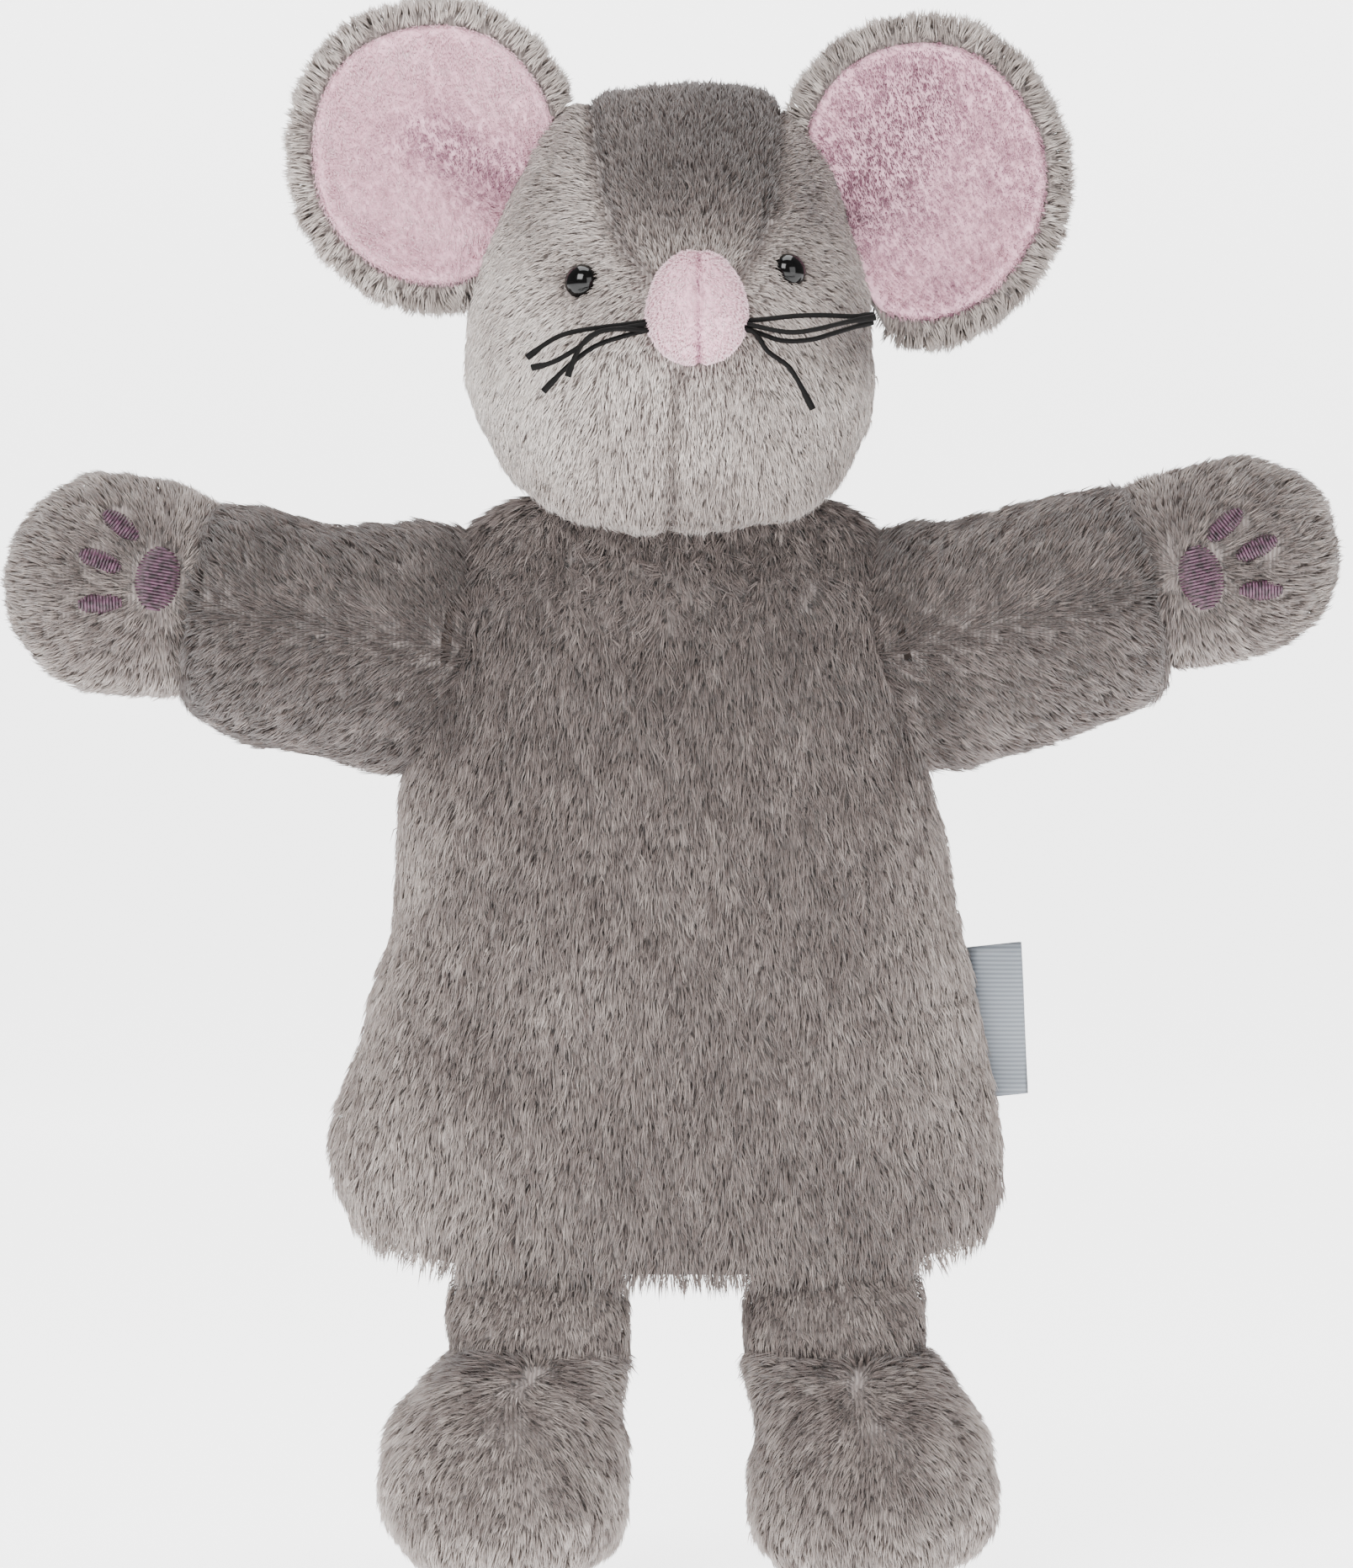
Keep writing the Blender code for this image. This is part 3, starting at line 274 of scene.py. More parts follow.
# Polyester pile: matt, silvery at the tips, and darker towards each fibre's root as painted shade
# for the shadow in between the tufts. U runs from the darkest tuft to the palest, carrying the
# painted light and shade of each piece, V from the root of a fibre to its tip.
def pile_material(name, stops, root, sheen):
    """Fibres coloured by their own map: tuft by tuft across, and root to tip along."""
    made, tree, shader = material(name, 0.72, Specular_IOR_Level=0.25, Sheen_Weight=sheen,
                                  Sheen_Roughness=0.5)
    place = node(tree, "SeparateXYZ", {"Vector": node(tree, "UVMap", uv_map="OFBake").outputs[0]})
    tuft = ramp(tree, place.outputs["X"], *stops)
    # Painted shade: each fibre darkens towards its root, for the shadow deep in the pile.
    along = ramp(tree, place.outputs["Y"], (0.0, root), (0.3, "#cdc9c6"), (0.85, "#ffffff"))
    mixed = mix_colours(tree, tuft, along, 1.0, blend_type="MULTIPLY")
    tree.links.new(mixed, shader.inputs["Base Color"])
    return made


taupe_pile = pile_material("taupe_polyester_pile", [
    (0.0, "#473d3a"), (0.25, "#766a66"), (0.5, "#a0958f"), (0.75, "#cabfb9"), (1.0, "#f0e8e2"),
], "#938b86", 0.2)

# The knitted backing shows only at edges and between tufts: rows of loops 0.9 mm apart.
backing, tree, shader = material("knitted_polyester_backing", 0.95, Sheen_Weight=0.2)
loops = pattern(tree, "Wave", 350.0, "X", Distortion=3.0, Detail=1.0)
blotch = pattern(tree, "Noise", 400.0, Detail=3.0)
mix = node(tree, "Math", {0: loops, 1: blotch}, operation="MULTIPLY").outputs[0]
surface(tree, shader, mix, [(0.1, "#7b716d"), (0.6, "#a09692")], 0.4, 0.0002)


def unit(vectors):
    return vectors / np.maximum(np.linalg.norm(vectors, axis=1, keepdims=True), 1e-12)


def ripple(points, size, seed):
    """A smooth wandering number from -1 to 1 over space, with waves of about this size."""
    chance = np.random.default_rng(seed)
    total = np.zeros(len(points))
    for _ in range(6):
        way = chance.normal(size=3)
        way *= chance.uniform(0.7, 1.4) * 2 * math.pi / (size * np.linalg.norm(way))
        total += np.sin(points @ way + chance.uniform(0, 6.28))
    return total / 3.4


def near(value, middle, width):
    """1 where a value is at the middle, falling softly to 0 round it."""
    return np.exp(-((value - middle) / width) ** 2)


def around(count):
    """Angles all the way round."""
    return 2 * math.pi * np.arange(count) / count


def refinish(name, finish):
    """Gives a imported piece, which is shown as it is, its material."""
    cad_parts[name].data.materials.clear()
    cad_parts[name].data.materials.append(finish)


def mesh_numbers(mesh):
    """Vertex places and normals, and the triangles, as arrays."""
    mesh.calc_loop_triangles()
    places = np.empty(len(mesh.vertices) * 3)
    mesh.vertices.foreach_get("co", places)
    normals = np.empty(len(mesh.vertices) * 3)
    mesh.vertex_normals.foreach_get("vector", normals)
    corners = np.empty(len(mesh.loop_triangles) * 3, np.int32)
    mesh.loop_triangles.foreach_get("vertices", corners)
    return places.reshape(-1, 3), normals.reshape(-1, 3), corners.reshape(-1, 3)


def from_front(skin, x, z):
    """The place and normal where a line from the front meets a skin."""
    return skin.ray_cast(Vector((x, -0.2, z)), Vector((0, 1, 0)))[1:3]


def push(skin, depth):
    """Moves a skin out along its normals, by what depth says for its points."""
    places, normals, _ = mesh_numbers(skin.data)
    skin.data.vertices.foreach_set("co", (places + normals * depth(places)[:, None]).ravel())
    skin.data.update()


def grow_pile(name, skin, finish, seed, dense, long, wide, lift, comb, shade,
              keep=None, tuft=0.0014, clump=0.3, wave=0.22):
    """Grows fibres on a skin. dense is fibres per mm2, long and wide are a fibre's size, lift
    is how far it stands up in degrees, comb gives its way and shade its colour at a point, painted
    light and shade included, and keep gives the share of fibres kept there."""
    chance = np.random.default_rng(seed)
    places, normals, corners = mesh_numbers(skin.data)
    a, b, c = (places[corners[:, i]] for i in range(3))
    area = np.linalg.norm(np.cross(b - a, c - a), axis=1) / 2
    middle = (a + b + c) / 3
    weight = area * (keep(middle) if keep else 1.0)
    count = int(weight.sum() * 1e6 * dense)
    picked = chance.choice(len(area), count, p=weight / weight.sum())
    u, v = chance.random(count), chance.random(count)
    turned = u + v > 1
    u[turned], v[turned] = 1 - u[turned], 1 - v[turned]
    share = np.stack([1 - u - v, u, v], 1)[:, :, None]
    root = (places[corners[picked]] * share).sum(1)
    out = unit((normals[corners[picked]] * share).sum(1))

    # Tufts: each fibre belongs to the nearest of some of the roots.
    leaders = chance.choice(count, max(8, int(area.sum() / (tuft * tuft * 1.3))))
    tree = KDTree(len(leaders))
    for i, leader in enumerate(leaders):
        tree.insert(root[leader], i)
    tree.balance()
    family = np.array([tree.find(p)[1] for p in root])
    many = len(leaders)
    size = np.maximum(np.bincount(family, minlength=many), 1)[:, None]

    def of_family(values):
        summed = [np.bincount(family, values[:, i], many) for i in range(3)]
        return np.stack(summed, 1)[family] / size[family]

    def at_roots(value):
        return value(root) if callable(value) else value

    flow = comb(root, out)
    flow = unit(flow - out * (flow * out).sum(1, keepdims=True))
    side = np.cross(out, flow)
    veer = (0.55 * ripple(root, 0.011, seed + 1) + 0.5 * ripple(root, 0.004, seed + 2)
            + chance.normal(0, 0.55, many)[family]) * at_roots(wave)
    veer += chance.normal(0, 0.16, count)
    flow = flow * np.cos(veer)[:, None] + side * np.sin(veer)[:, None]
    rise = (1 + 0.25 * ripple(root, 0.007, seed + 3) + chance.normal(0, 0.1, many)[family]
            + chance.normal(0, 0.15, count))
    rise = np.clip(np.radians(at_roots(lift)) * rise, 0.05, 1.45)
    vary = (1 + 0.15 * ripple(root, 0.009, seed + 4) + chance.normal(0, 0.06, many)[family]
            + chance.normal(0, 0.12, count))
    reach = (at_roots(long) * np.clip(vary, 0.45, 1.45))[:, None]
    tone = shade(root, out)
    up, low = np.minimum(rise + 0.3, 1.5)[:, None], np.maximum(rise - 0.28, 0.0)[:, None]
    foot = root - out * 0.0005
    waist = root + reach * 0.5 * (flow * np.cos(up) + out * np.sin(up))
    tip = waist + reach * 0.5 * (flow * np.cos(low) + out * np.sin(low))
    waist += (of_family(waist) - waist) * clump * 0.45
    tip += (of_family(tip) - tip) * clump
    axis = unit(tip - foot)
    one = unit(np.cross(axis, out + 1e-6))
    two = np.cross(axis, one)
    thick = (wide / 2) * chance.uniform(0.75, 1.25, count)[:, None]
    spin = chance.uniform(0, 6.28, count)[:, None]
    points = [foot]
    for turn in (0, 2.0944, 4.1888):
        points.append(waist + thick * (one * np.cos(spin + turn) + two * np.sin(spin + turn)))
    points.append(tip)
    points = np.stack(points, 1).reshape(-1, 3)
    faces = np.array([(0, 2, 1), (0, 3, 2), (0, 1, 3), (1, 2, 4), (2, 3, 4), (3, 1, 4)])
    loops = (faces[None] + 5 * np.arange(count)[:, None, None]).ravel()

    mesh = bpy.data.meshes.new(name)
    mesh.vertices.add(len(points))
    mesh.vertices.foreach_set("co", points.ravel())
    mesh.loops.add(len(loops))
    mesh.loops.foreach_set("vertex_index", loops.astype(np.int32))
    mesh.polygons.add(len(loops) // 3)
    mesh.polygons.foreach_set("loop_start", np.arange(0, len(loops), 3, dtype=np.int32))
    mesh.polygons.foreach_set("use_smooth", np.ones(len(loops) // 3, bool))
    tone = np.clip(tone + chance.normal(0, 0.08, many)[family] + chance.normal(0, 0.05, count),
                   0.02, 0.98)
    across = tone[:, None] + np.array([0.0, -0.004, 0.0, 0.004, 0.0])
    along = np.array([0.0, 0.5, 0.5, 0.5, 1.0])[None].repeat(count, 0)
    layer = mesh.uv_layers.new(name="OFBake")
    layer.uv.foreach_set("vector", np.stack([across.ravel()[loops], along.ravel()[loops]],
                                            1).astype(np.float32).ravel())
    mesh.materials.append(finish)
    mesh.update()
    mesh.validate()
    pile = placed(name, mesh)
    return pile


def skin_mesh(name, lines, finish, closed=(True, True), whole=True):
    """A skin of quads through rows of points; its ends may be closed to a point."""
    rows, count = len(lines), len(lines[0])
    points = [tuple(p) for line in lines for p in line]
    faces = []
    for i in range(rows - 1):
        for j in range(count if whole else count - 1):
            k = (j + 1) % count
            faces.append((i * count + j, i * count + k, (i + 1) * count + k, (i + 1) * count + j))
    for end, row in ((0, 0), (1, rows - 1)):
        if closed[end]:
            points.append(tuple(np.mean(lines[row], axis=0)))
            for j in range(count):
                k = (j + 1) % count
                pair = (row * count + j, row * count + k)
                faces.append((*(pair if end else pair[::-1]), len(points) - 1))
    return smooth_mesh(name, points, faces, finish)


def outline(left, right, front, back, squareness, angles):
    """Points (across, deep) round a soft oval whose four half sizes differ."""
    c, s = np.cos(angles), np.sin(angles)
    power = 2 / squareness
    across = np.sign(c) * np.abs(c) ** power * np.where(c > 0, right, left)
    deep = np.sign(s) * np.abs(s) ** power * np.where(s > 0, back, front)
    return across, deep


def near_line(points, line, width):
    """How near each point is to a line of points: 1 on it, and 0 beyond its width."""
    line = np.asarray(line, float)
    best = np.full(len(points), 1e9)
    for a, b in zip(line, line[1:]):
        d = b - a
        t = np.clip(((points - a) @ d) / max(d @ d, 1e-12), 0, 1)[:, None]
        best = np.minimum(best, np.linalg.norm(points - a - t * d, axis=1))
    return np.exp(-(best / width) ** 2)


# ---------------- body
# The body is a bag of two plush panels, front and back, sewn at the sides and open at the
# hem for the hand. The pile is brushed down it.

# Millimetres: height, half widths to the left and right, half depths to the front and back.
BODY = [
    (0, 65, 62.8, 21.5, 21.5), (9, 68.2, 64.8, 22.8, 22.8), (20, 68.2, 64.5, 23.5, 23.5),
    (32, 65.8, 63.2, 24, 24), (47, 62, 61, 24.5, 24.3), (58, 59.6, 59, 24.6, 24.3),
    (68, 57, 57.3, 24.6, 24.3), (78.5, 56, 55.2, 24.6, 24), (89, 55, 53, 24.4, 23.8),
    (99, 54, 50.4, 24, 23.4), (110, 51, 48.8, 23.4, 22.8), (125, 47.8, 46.2, 22.4, 21.6),
    (138, 46, 44.5, 21.2, 20.2), (147, 42.5, 41, 19.5, 18.8), (151.8, 38.8, 37.6, 18.8, 18.5),
    (155, 32, 31.2, 18, 18), (156.6, 25, 24.5, 17.2, 17.4),
]
HEM_CORNER_RISE = 0.0135


def body_lines(half, count, inset=0.0):
    stations = smooth_line(BODY, 4) / 1000
    start = math.pi if half == "front" else 0.0
    turn = math.pi if half else 2 * math.pi
    angles = start + turn * np.arange(count) / (count - (1 if half else 0))
    lines = []
    for z, left, right, front, back in stations:
        across, deep = outline(left - inset, right - inset, front - inset, back - inset, 2.2,
                               angles)
        lift = HEM_CORNER_RISE * (np.abs(across) / 0.068) ** 5 * max(0.0, 1 - z / 0.05)
        line = np.stack([across, deep, z + lift], 1)
        # Soft dents and swells of an empty cloth bag.
        dent = ripple(line, 0.055, 11) * 0.001 + ripple(line, 0.026, 12) * 0.0005
        line[:, 1] += np.sign(line[:, 1]) * dent
        line[:, 0] *= 1 + 0.01 * ripple(line * [0, 0, 1], 0.03, 13)
        lines.append(line)
    return lines


def comb_down(points, out):
    way = np.zeros_like(points)
    way[:, 2] = -1
    way[:, 0] = 0.25 * points[:, 0] / 0.06
    return way


PLUSH_CLOTH = 0.0012  # thickness of the backing


def thicken(skin, depth):
    """Gives a skin of cloth its thickness, inwards."""
    cloth = skin.modifiers.new("cloth", "SOLIDIFY")
    cloth.thickness = depth
    cloth.offset = -1
    with bpy.context.temp_override(object=skin, active_object=skin, selected_objects=[skin]):
        bpy.ops.object.modifier_apply(modifier="cloth")
    skin.data.update()
    return skin


def body_tone_painted_light(points, out):
    x, y, z = points.T
    tone = 0.26 + 0.055 * ripple(points * [1, 1, 0.25], 0.0042, 21)
    # Painted light: the lower sides paler, and the left end of the hem.
    tone += 0.21 * np.clip((np.abs(x) - 0.036) / 0.02, 0, 1) * np.clip((0.125 - z) / 0.03, 0, 1)
    tone += 0.1 * near(z, 0.012, 0.012) * np.clip((-x - 0.02) / 0.03, 0, 1)
    # Painted shade: darker across the upper chest and under the chin, at the right end of the hem,
    # and in the armhole seams.
    tone -= 0.16 * near(z, 0.128, 0.024)
    tone -= 0.14 * near(z, 0.016, 0.012) * near(x, 0.054, 0.014)
    tone -= 0.08 * near(z, 0.146, 0.007)
    tone -= 0.16 * near(np.abs(x), 0.0455, 0.003) * np.clip((z - 0.098) / 0.008, 0, 1)
    # Painted light: a paler patch low on the left of the front.
    tone += 0.05 * near(z, 0.03, 0.018) * near(x, -0.015, 0.03)
    return tone + 0.07 * ripple(points, 0.034, 22)


def body_wave(points):
    """The pile is tousled under the chin and combed smooth lower down."""
    x, _, z = points.T
    return 0.24 + 0.75 * near(z, 0.141, 0.011) * near(x, 0, 0.036)


# A panel's name, its pile's density, width of a fibre, and where each piece of pile ends.
PANELS = (
    ("front", 3.9, 0.00027, (-0.09, -0.021, 0.021, 0.09)),
    ("back", 1.5, 0.00048, (-0.09, 0.0, 0.09)),
)
for number, (half, dense, wide, edges) in enumerate(PANELS):
    panel = skin_mesh("body_%s_cloth" % half, body_lines(half, 41), backing, (False, False), False)
    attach(panel, "torso")
    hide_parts("body_%s_panel" % half)
    for i, (low, high) in enumerate(zip(edges, edges[1:])):
        pile = grow_pile(
            "body_%s_pile_%d" % (half, i + 1), panel, taupe_pile, 100 + 30 * number + 5 * i,
            dense, 0.0054, wide, 21, comb_down, body_tone_painted_light, clump=0.28, wave=body_wave,
            keep=lambda p: ((p[:, 0] > low) & (p[:, 0] <= high)).astype(float))
        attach(pile, "torso")
    thicken(panel, PLUSH_CLOTH)

# ---------------- lining
# A plain woven polyester-cotton bag inside the plush, sewn in at the hem and the neck.

# Plain weave drawn at 1.2 mm so that it shows; the real thread is about a quarter of that.
cotton, tree, shader = material("woven_lining_cotton", 0.9, Sheen_Weight=0.1)
warp, weft = (pattern(tree, "Wave", 130.0, way) for way in "XZ")
weave = node(tree, "Math", {0: warp, 1: weft}, operation="MULTIPLY").outputs[0]
surface(tree, shader, weave, [(0.0, "#8f8a84"), (1.0, "#cdc8c1")], 0.5, 0.0002)

inner = body_lines(None, 64, 0.0034)[1:-9]
inner[0][:, 2] += 0.0015
lining = thicken(skin_mesh("lining_cloth", inner, cotton, (False, False)), 0.0007)
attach(lining, "torso")
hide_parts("lining")

# The finger pocket in the head is of the same cotton.
refinish("finger_tube", cotton)

# ---------------- side label
# A folded loop of grey woven ribbon, caught in the side seam. It carries no lettering.

LABEL = (0.0345, 0.0655)
LABEL_OUT = 0.0112
ribbon, tree, shader = material("woven_satin_ribbon", 0.45, Sheen_Weight=0.2)
ribs = pattern(tree, "Wave", 350.0, "Z")
surface(tree, shader, ribs, [(0.0, "#60666d"), (1.0, "#7e848b")], 0.3, 0.0001)
# The fold is darker than the rest.
where = node(tree, "SeparateXYZ", {"Vector": node(tree, "TexCoord").outputs["Object"]})
fold = node(tree, "MapRange", {"Value": where.outputs["X"], "From Min": 0.0716,
                               "From Max": 0.0722}).outputs["Result"]
silver = shader.inputs["Base Color"].links[0].from_socket
dark = ramp(tree, ribs, (0.0, "#24272b"), (1.0, "#393c41"))
tree.links.new(mix_colours(tree, silver, dark, fold), shader.inputs["Base Color"])

lines = []
for z in np.linspace(LABEL[0], LABEL[1], 17):
    root = 0.0612 - 0.045 * (z - LABEL[0])
    line = []
    for t in np.linspace(0, 1, 25):
        # Out along the front, round the fold and back along the rear.
        u = t * 2 if t < 0.5 else (1 - t) * 2
        out_x = root + LABEL_OUT * math.sin(u * math.pi / 2) ** 0.8
        swell = 0.0011 * math.sin(u * math.pi) ** 0.7 + 0.0004
        lean = 0.1 * (out_x - root)
        y = (-swell if t < 0.5 else swell) + 0.0008 * math.sin(z * 190)
        line.append((out_x, y, z + lean))
    lines.append(np.array(line))
label = thicken(skin_mesh("side_label_ribbon", lines, ribbon, (False, False), False), 0.0003)
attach(label, "torso")
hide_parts("woven_label")

# ---------------- neck
# A short tube of plush joins the body to the head. The chin hides its front.

NECK = Vector((0, 0, 0.154))
NECK_ROWS = [
    (0.147, 0.0235, 0.015), (0.151, 0.024, 0.016), (0.156, 0.0225, 0.0165),
    (0.161, 0.0215, 0.017), (0.166, 0.02, 0.0165),
]
lines = []
for z, wide, deep in smooth_line(NECK_ROWS, 3):
    across, depth = outline(wide, wide, deep, deep, 2.1, around(40))
    lines.append(np.stack([across, depth, np.full(40, z)], 1))
neck_skin = skin_mesh("neck_cloth", lines, backing, (False, False))
neck_pile = grow_pile("neck_pile", neck_skin, taupe_pile, 200, 2.0, 0.0045, 0.00036, 30,
                      lambda p, n: np.tile([0.0, 0.0, -1.0], (len(p), 1)),
                      # Painted shade: the neck's pile darker than the body's, under the chin.
                      lambda p, n: 0.16 + 0.08 * ripple(p, 0.01, 5))
thicken(neck_skin, PLUSH_CLOTH)
for piece in (neck_skin, neck_pile):
    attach(piece, "neck_tilt")

# The seams round the neck and the armholes are bound with a woven tape, 1.5 mm ribs, coloured dark
# as painted shade, so that where it shows it reads as the shadow in the seam.
tape, tree, shader = material("bound_seam_tape_painted_shade", 0.95, Specular_IOR_Level=0.1)
ribs = pattern(tree, "Wave", 200.0, "DIAGONAL")
surface(tree, shader, ribs, [(0.0, "#332c29"), (1.0, "#4f4642")])
for name in ("collar_seam_ring", "head_seam_ring", "left_armhole_seam", "right_armhole_seam"):
    refinish(name, tape)

# ---------------- head
# The head is sewn of two pale cheeks, which meet under the nose, and a darker gusset over
# the crown, and stuffed firmly. Its seams draw the pile in.

# Millimetres: height, half widths to the left and right, depths to the front and back.
HEAD = [
    (151, 9.5, 10, 34.5, -26), (152.6, 17, 17.2, 36.4, -21.5), (156, 25.2, 25.7, 38, -11),
    (161.5, 31.8, 32.4, 39.2, 15), (169, 36.4, 36.6, 40, 28.5), (175, 39.3, 38.8, 40.6, 32),
    (183, 41.3, 39.5, 40.8, 34), (190, 41.5, 39.1, 40.2, 35), (199, 40.3, 38.3, 38.4, 35),
    (207, 37.7, 35.9, 35.2, 34.4), (214, 34.9, 33.7, 32, 33), (222, 31.4, 31.6, 27.5, 30.4),
    (229, 27.5, 28.4, 22.5, 26.4), (235, 22.6, 24.1, 17, 20.8), (238.8, 16, 18.5, 10.5, 13.8),
    (240.2, 8.5, 11, 5, 6.5),
]
# Seams seen from the front: across and up.
LEFT_SEAM = [(-0.004, 0.199), (-0.0095, 0.205), (-0.0135, 0.214), (-0.0157, 0.228),
             (-0.0172, 0.242)]
RIGHT_SEAM = [(0.0118, 0.199), (0.0158, 0.205), (0.0189, 0.214), (0.0202, 0.228),
              (0.0214, 0.242)]
CHIN_SEAM = [(0.002, 0.184), (0.0004, 0.178), (-0.0004, 0.168), (-0.0009, 0.15)]
NAPE_SEAMS = [[(-0.0172, 0.242), (-0.015, 0.213), (-0.011, 0.16)],
              [(0.0214, 0.242), (0.019, 0.213), (0.015, 0.16)]]


def flat_line(line):
    return np.array([(x, 0, z) for x, z in line])


def seam_pull(points, width):
    """1 on the head's seams and 0 away from them."""
    front, back = (np.maximum.reduce([near_line(points * [1, 0, 1], flat_line(seam), width)
                                      for seam in seams])
                   for seams in ((LEFT_SEAM, RIGHT_SEAM, CHIN_SEAM), NAPE_SEAMS))
    return np.where(points[:, 1] < 0, front, back)


def in_gusset(points):
    """Whether a point is on the gusset, from the nose over the crown to the nape."""
    x, y, z = points.T

    def between(left, right):
        left, right = np.array(left), np.array(right)
        return ((x > np.interp(z, left[:, 1], left[:, 0]))
                & (x < np.interp(z, right[:, 1], right[:, 0])))

    front = (z > 0.199) & between(LEFT_SEAM, RIGHT_SEAM)
    back = between(*(seam[::-1] for seam in NAPE_SEAMS))
    return np.where(y < 0, front, back)


EYES = {"left": (-0.0187, 0.1995), "right": (0.0228, 0.202)}

lines = []
for z, left, right, front, back in smooth_line(HEAD, 4) / 1000:
    half = (front + back) / 2
    across, deep = outline(left, right, half, half, 2.12, around(72))
    line = np.stack([across, (back - front) / 2 + deep, np.full(72, z)], 1)
    face = np.clip(-line[:, 1] / 0.02, 0, 1)
    muzzle = near(line[:, 0], 0.003, 0.019) * near(z, 0.186, 0.018)
    line[:, 1] -= 0.0028 * muzzle * face
    sockets = sum(near(line[:, 0], x, 0.0075) * near(z, h, 0.007)
                  for x, h in EYES.values())
    line[:, 1] += 0.0018 * sockets * face
    lines.append(line)
head_skin = skin_mesh("head_cloth", lines, backing)
push(head_skin, lambda p: 0.0005 * ripple(p, 0.022, 31) - 0.0011 * seam_pull(p, 0.0016))
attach(head_skin, "head")
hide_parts("head_left_panel", "head_right_panel", "head_gusset", "head_stuffing")


def near_face(points):
    """1 in the middle of the face, where the pile is short, and 0 away from it."""
    x, y, z = points.T
    front = np.clip(-y / 0.02, 0, 1)
    nose = near(x, 0.0043, 0.017) * near(z, 0.194, 0.016)
    eyes = sum(near(x, at, 0.007) * near(z, up, 0.007)
               for at, up in EYES.values())
    return np.clip(nose + 0.8 * eyes, 0, 1) * front


def face_open(points):
    """The share of fibres kept: none under the nose and the eyes."""
    x, y, z = points.T
    front = y < -0.005
    keep = np.ones(len(points))
    nose = np.hypot((x - 0.0043) / 0.0085, (z - 0.1934) / 0.0098) < 1
    keep[front & nose] = 0
    for at, up in EYES.values():
        keep[front & (np.hypot(x - at, z - up) < 0.0024)] = 0
    return keep * (0.45 + 0.55 * (y < 0.004))


def comb_head(points, out):
    x, y, z = points.T
    away = unit(np.stack([x - 0.0043, 0.55 * (y + 0.045), z - 0.197], 1))
    way = away + np.array([0, 0, -0.55])
    crown = in_gusset(points)
    way[crown] = away[crown] * 0.7 + np.array([0, 0.25, 0.7])
    below = (np.abs(x - 0.001) < 0.016) & (z < 0.186) & (y < 0)
    way[below] = away[below] * 0.35 + np.array([0, 0, -1.0])
    rear = y > 0.005
    way[rear] = np.array([0, 0, -1.0]) + 0.3 * np.stack([x, 0 * x, 0 * x], 1)[rear] / 0.04
    return way


def head_tone_painted_light(points, out):
    x, y, z = points.T
    low = np.where(y < 0.002, np.clip((0.222 - z) / 0.02, 0, 1), 0.3)
    tone = np.where(in_gusset(points), 0.05 + 0.58 * low**2, 0.7 - 0.16 * (1 - low))
    # Painted light: paler across the lower face and the muzzle, and on the left side, with the
    # right side darker as painted shade.
    tone += 0.1 * near(z, 0.18, 0.013) * (y < 0)
    tone += 0.1 * np.clip(-x / 0.03, -1, 1) * (y < 0.01)
    # Painted shade: a dark patch on the right cheek, and dark sockets round and above the eyes.
    tone -= 0.4 * near(x, 0.033, 0.009) * near(z, 0.19, 0.009) * (y < 0)
    tone -= 0.14 * near(x, 0.024, 0.007) * near(z, 0.214, 0.01)
    tone -= 0.15 * near(x, -0.026, 0.006) * near(z, 0.209, 0.012)
    for at, up in EYES.values():
        tone -= 0.22 * np.exp(-((x - at - 0.06 * at) / 0.0042) ** 2 - ((z - up) / 0.0034) ** 2)
    # Painted shade: a shadow under the nose, darker seams, and a shadow under the chin.
    tone -= 0.1 * near(x, 0.01, 0.01) * near(z, 0.176, 0.006)
    tone -= 0.32 * seam_pull(points, 0.0012)
    tone -= 0.22 * np.clip((0.1625 - z) / 0.012, 0, 1)
    return tone + 0.07 * ripple(points, 0.018, 33)


def head_long(points):
    return 0.004 * (1 - 0.35 * near_face(points) - 0.2 * seam_pull(points, 0.003))


def head_lift(points):
    return np.where(in_gusset(points), 32.0, 16.0)


head_parts = {
    "head_gusset_pile": lambda p: in_gusset(p) * face_open(p),
    "head_left_pile": lambda p: (~in_gusset(p)) * (p[:, 0] < 0.0005) * face_open(p),
    "head_right_pile": lambda p: (~in_gusset(p)) * (p[:, 0] >= 0.0005) * face_open(p),
}
for i, (name, keep) in enumerate(head_parts.items()):
    pile = grow_pile(name, head_skin, taupe_pile, 300 + 10 * i, 4.8, head_long, 0.00025,
                     head_lift, comb_head, head_tone_painted_light, keep=keep, tuft=0.001,
                     clump=0.3 if i == 0 else 0.12, wave=0.36 if i == 0 else 0.15)
    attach(pile, "head")

# ---------------- eyes
# Each eye is a moulded black dome on a shank, which a washer holds from inside the head.

# Polished polystyrene: black all through, with a clean mirror-like highlight.
eye_plastic, tree, shader = material("polished_black_plastic", 0.1, Specular_IOR_Level=0.35)
dust = pattern(tree, "Noise", 900.0, Detail=2.0)
surface(tree, shader, dust, [(0.3, "#010101"), (0.8, "#070606")])

for side, (x, z) in EYES.items():
    place, way = from_front(head_skin, x, z)
    bpy.ops.object.select_all(action="DESELECT")
    bpy.ops.mesh.primitive_uv_sphere_add(segments=40, ring_count=24, radius=0.0035,
                                         location=place + way * 0.0002,
                                         rotation=way.to_track_quat("Z", "Y").to_euler())
    eye = bpy.context.object
    eye.name = side + "_eye_dome"
    eye.scale = (1, 1, 0.82)
    bpy.ops.object.transform_apply(location=True, rotation=True, scale=True)
    bpy.ops.object.shade_smooth()
    eye.data.materials.append(eye_plastic)
    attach(eye, "head")
    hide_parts(side + "_eye")
    refinish(side + "_eye_washer", eye_plastic)

# ---------------- nose
# The nose is sewn of two halves of very short pink velour and stuffed, so a seam runs
# down its middle.

